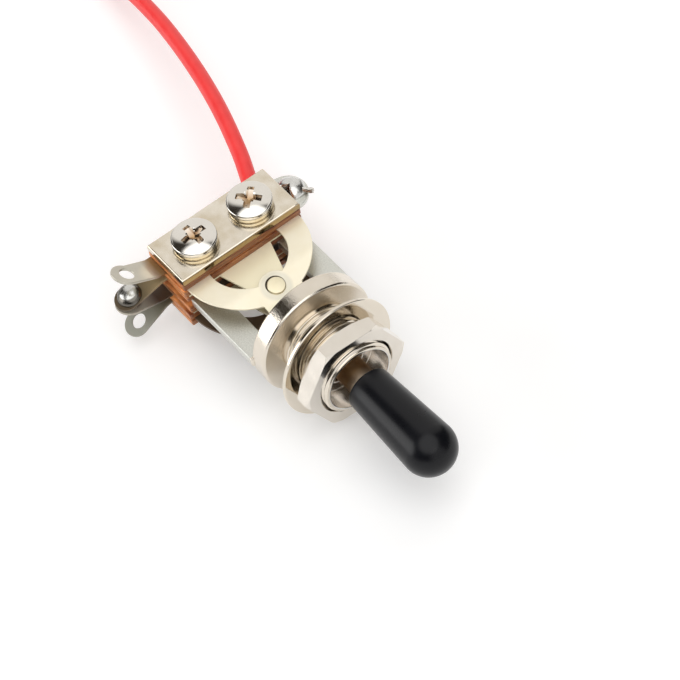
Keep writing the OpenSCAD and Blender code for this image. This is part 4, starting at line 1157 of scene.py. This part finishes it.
# White card: matt and even, with a trace of fibre. A weak glow, seen by the camera and in reflections
# but not cast on the switch, brings it up to the photograph's white ground.
white_card, tree, place = new_finish("white card")
fibre = add(tree, "TexNoise", Vector=place, Scale=1 / (8 * MM), Detail=2)
shade = add(tree, "Mix", colour_mix, Factor=fibre, A=linear("#F0F0F0"), B=linear("#F4F4F4"))
card = add(tree, "BsdfDiffuse", Color=shade)
ray = add(tree, "LightPath")
seen = add(tree, "Math", {"operation": "MAXIMUM"}, Value=ray.outputs["Is Camera Ray"],
           Value_001=ray.outputs["Is Glossy Ray"])
seen = add(tree, "Math", {"operation": "MAXIMUM"}, Value=seen, Value_001=ray.outputs["Is Transmission Ray"])
lift = add(tree, "Math", {"operation": "MULTIPLY"}, Value=seen, Value_001=bench_lift)
glow = add(tree, "Emission", Strength=lift)
both = add(tree, "AddShader", Shader=card, Shader_001=glow)
add(tree, "OutputMaterial", Surface=both)
corners = np.array([[-1, -1], [1, -1], [1, 1], [-1, 1]]) * bench_half / MM
bench_points = np.column_stack([corners, np.full(4, bench_z / MM)])
bench = piece("bench", [(bench_points, [np.array([[0, 1, 2, 3]])])], white_card)

# Each patch has its direction, the angles at which it starts to fade and ends, its strength and colour.
patches = [
    ((0.32, -0.15, 0.93), 34, 42, 1.65, "#FFFFFF"),
    ((-0.65, 0.50, 0.57), 34, 42, 0.9, "#FFFDFA"),
    ((-0.52, -0.83, 0.22), 18, 28, 3.0, "#FFFFFF"),
    ((1.0, 0.05, 0.18), 15, 40, 0.9, "#FFFFFF"),
]
world = bpy.data.worlds.new("studio")
bpy.context.scene.world = world
world.use_nodes = True
tree = world.node_tree
tree.nodes.clear()
look = add(tree, "TexCoord").outputs["Generated"]
total = add(tree, "RGB").outputs[0]
total.default_value = [room_level * c for c in linear("#E8D8C4")[:3]] + [1]
for direction, inner, outer, strength, colour in patches:
    aim = (np.array(direction) / np.linalg.norm(direction)).tolist()
    nearness = add(tree, "VectorMath", {"operation": "DOT_PRODUCT"}, Vector=look, Vector_001=aim)
    shape = add(tree, "MapRange", {"interpolation_type": "SMOOTHSTEP"}, Value=nearness.outputs["Value"],
                From_Min=np.cos(np.radians(outer)), From_Max=np.cos(np.radians(inner)), To_Max=strength)
    light = add(tree, "VectorMath", {"operation": "SCALE"}, Vector=linear(colour)[:3], Scale=shape)
    total = add(tree, "VectorMath", {"operation": "ADD"}, Vector=total, Vector_001=light)
sky = add(tree, "Background", Color=total)
add(tree, "OutputWorld", Surface=sky)

bpy.context.scene.view_settings.view_transform = "Standard"
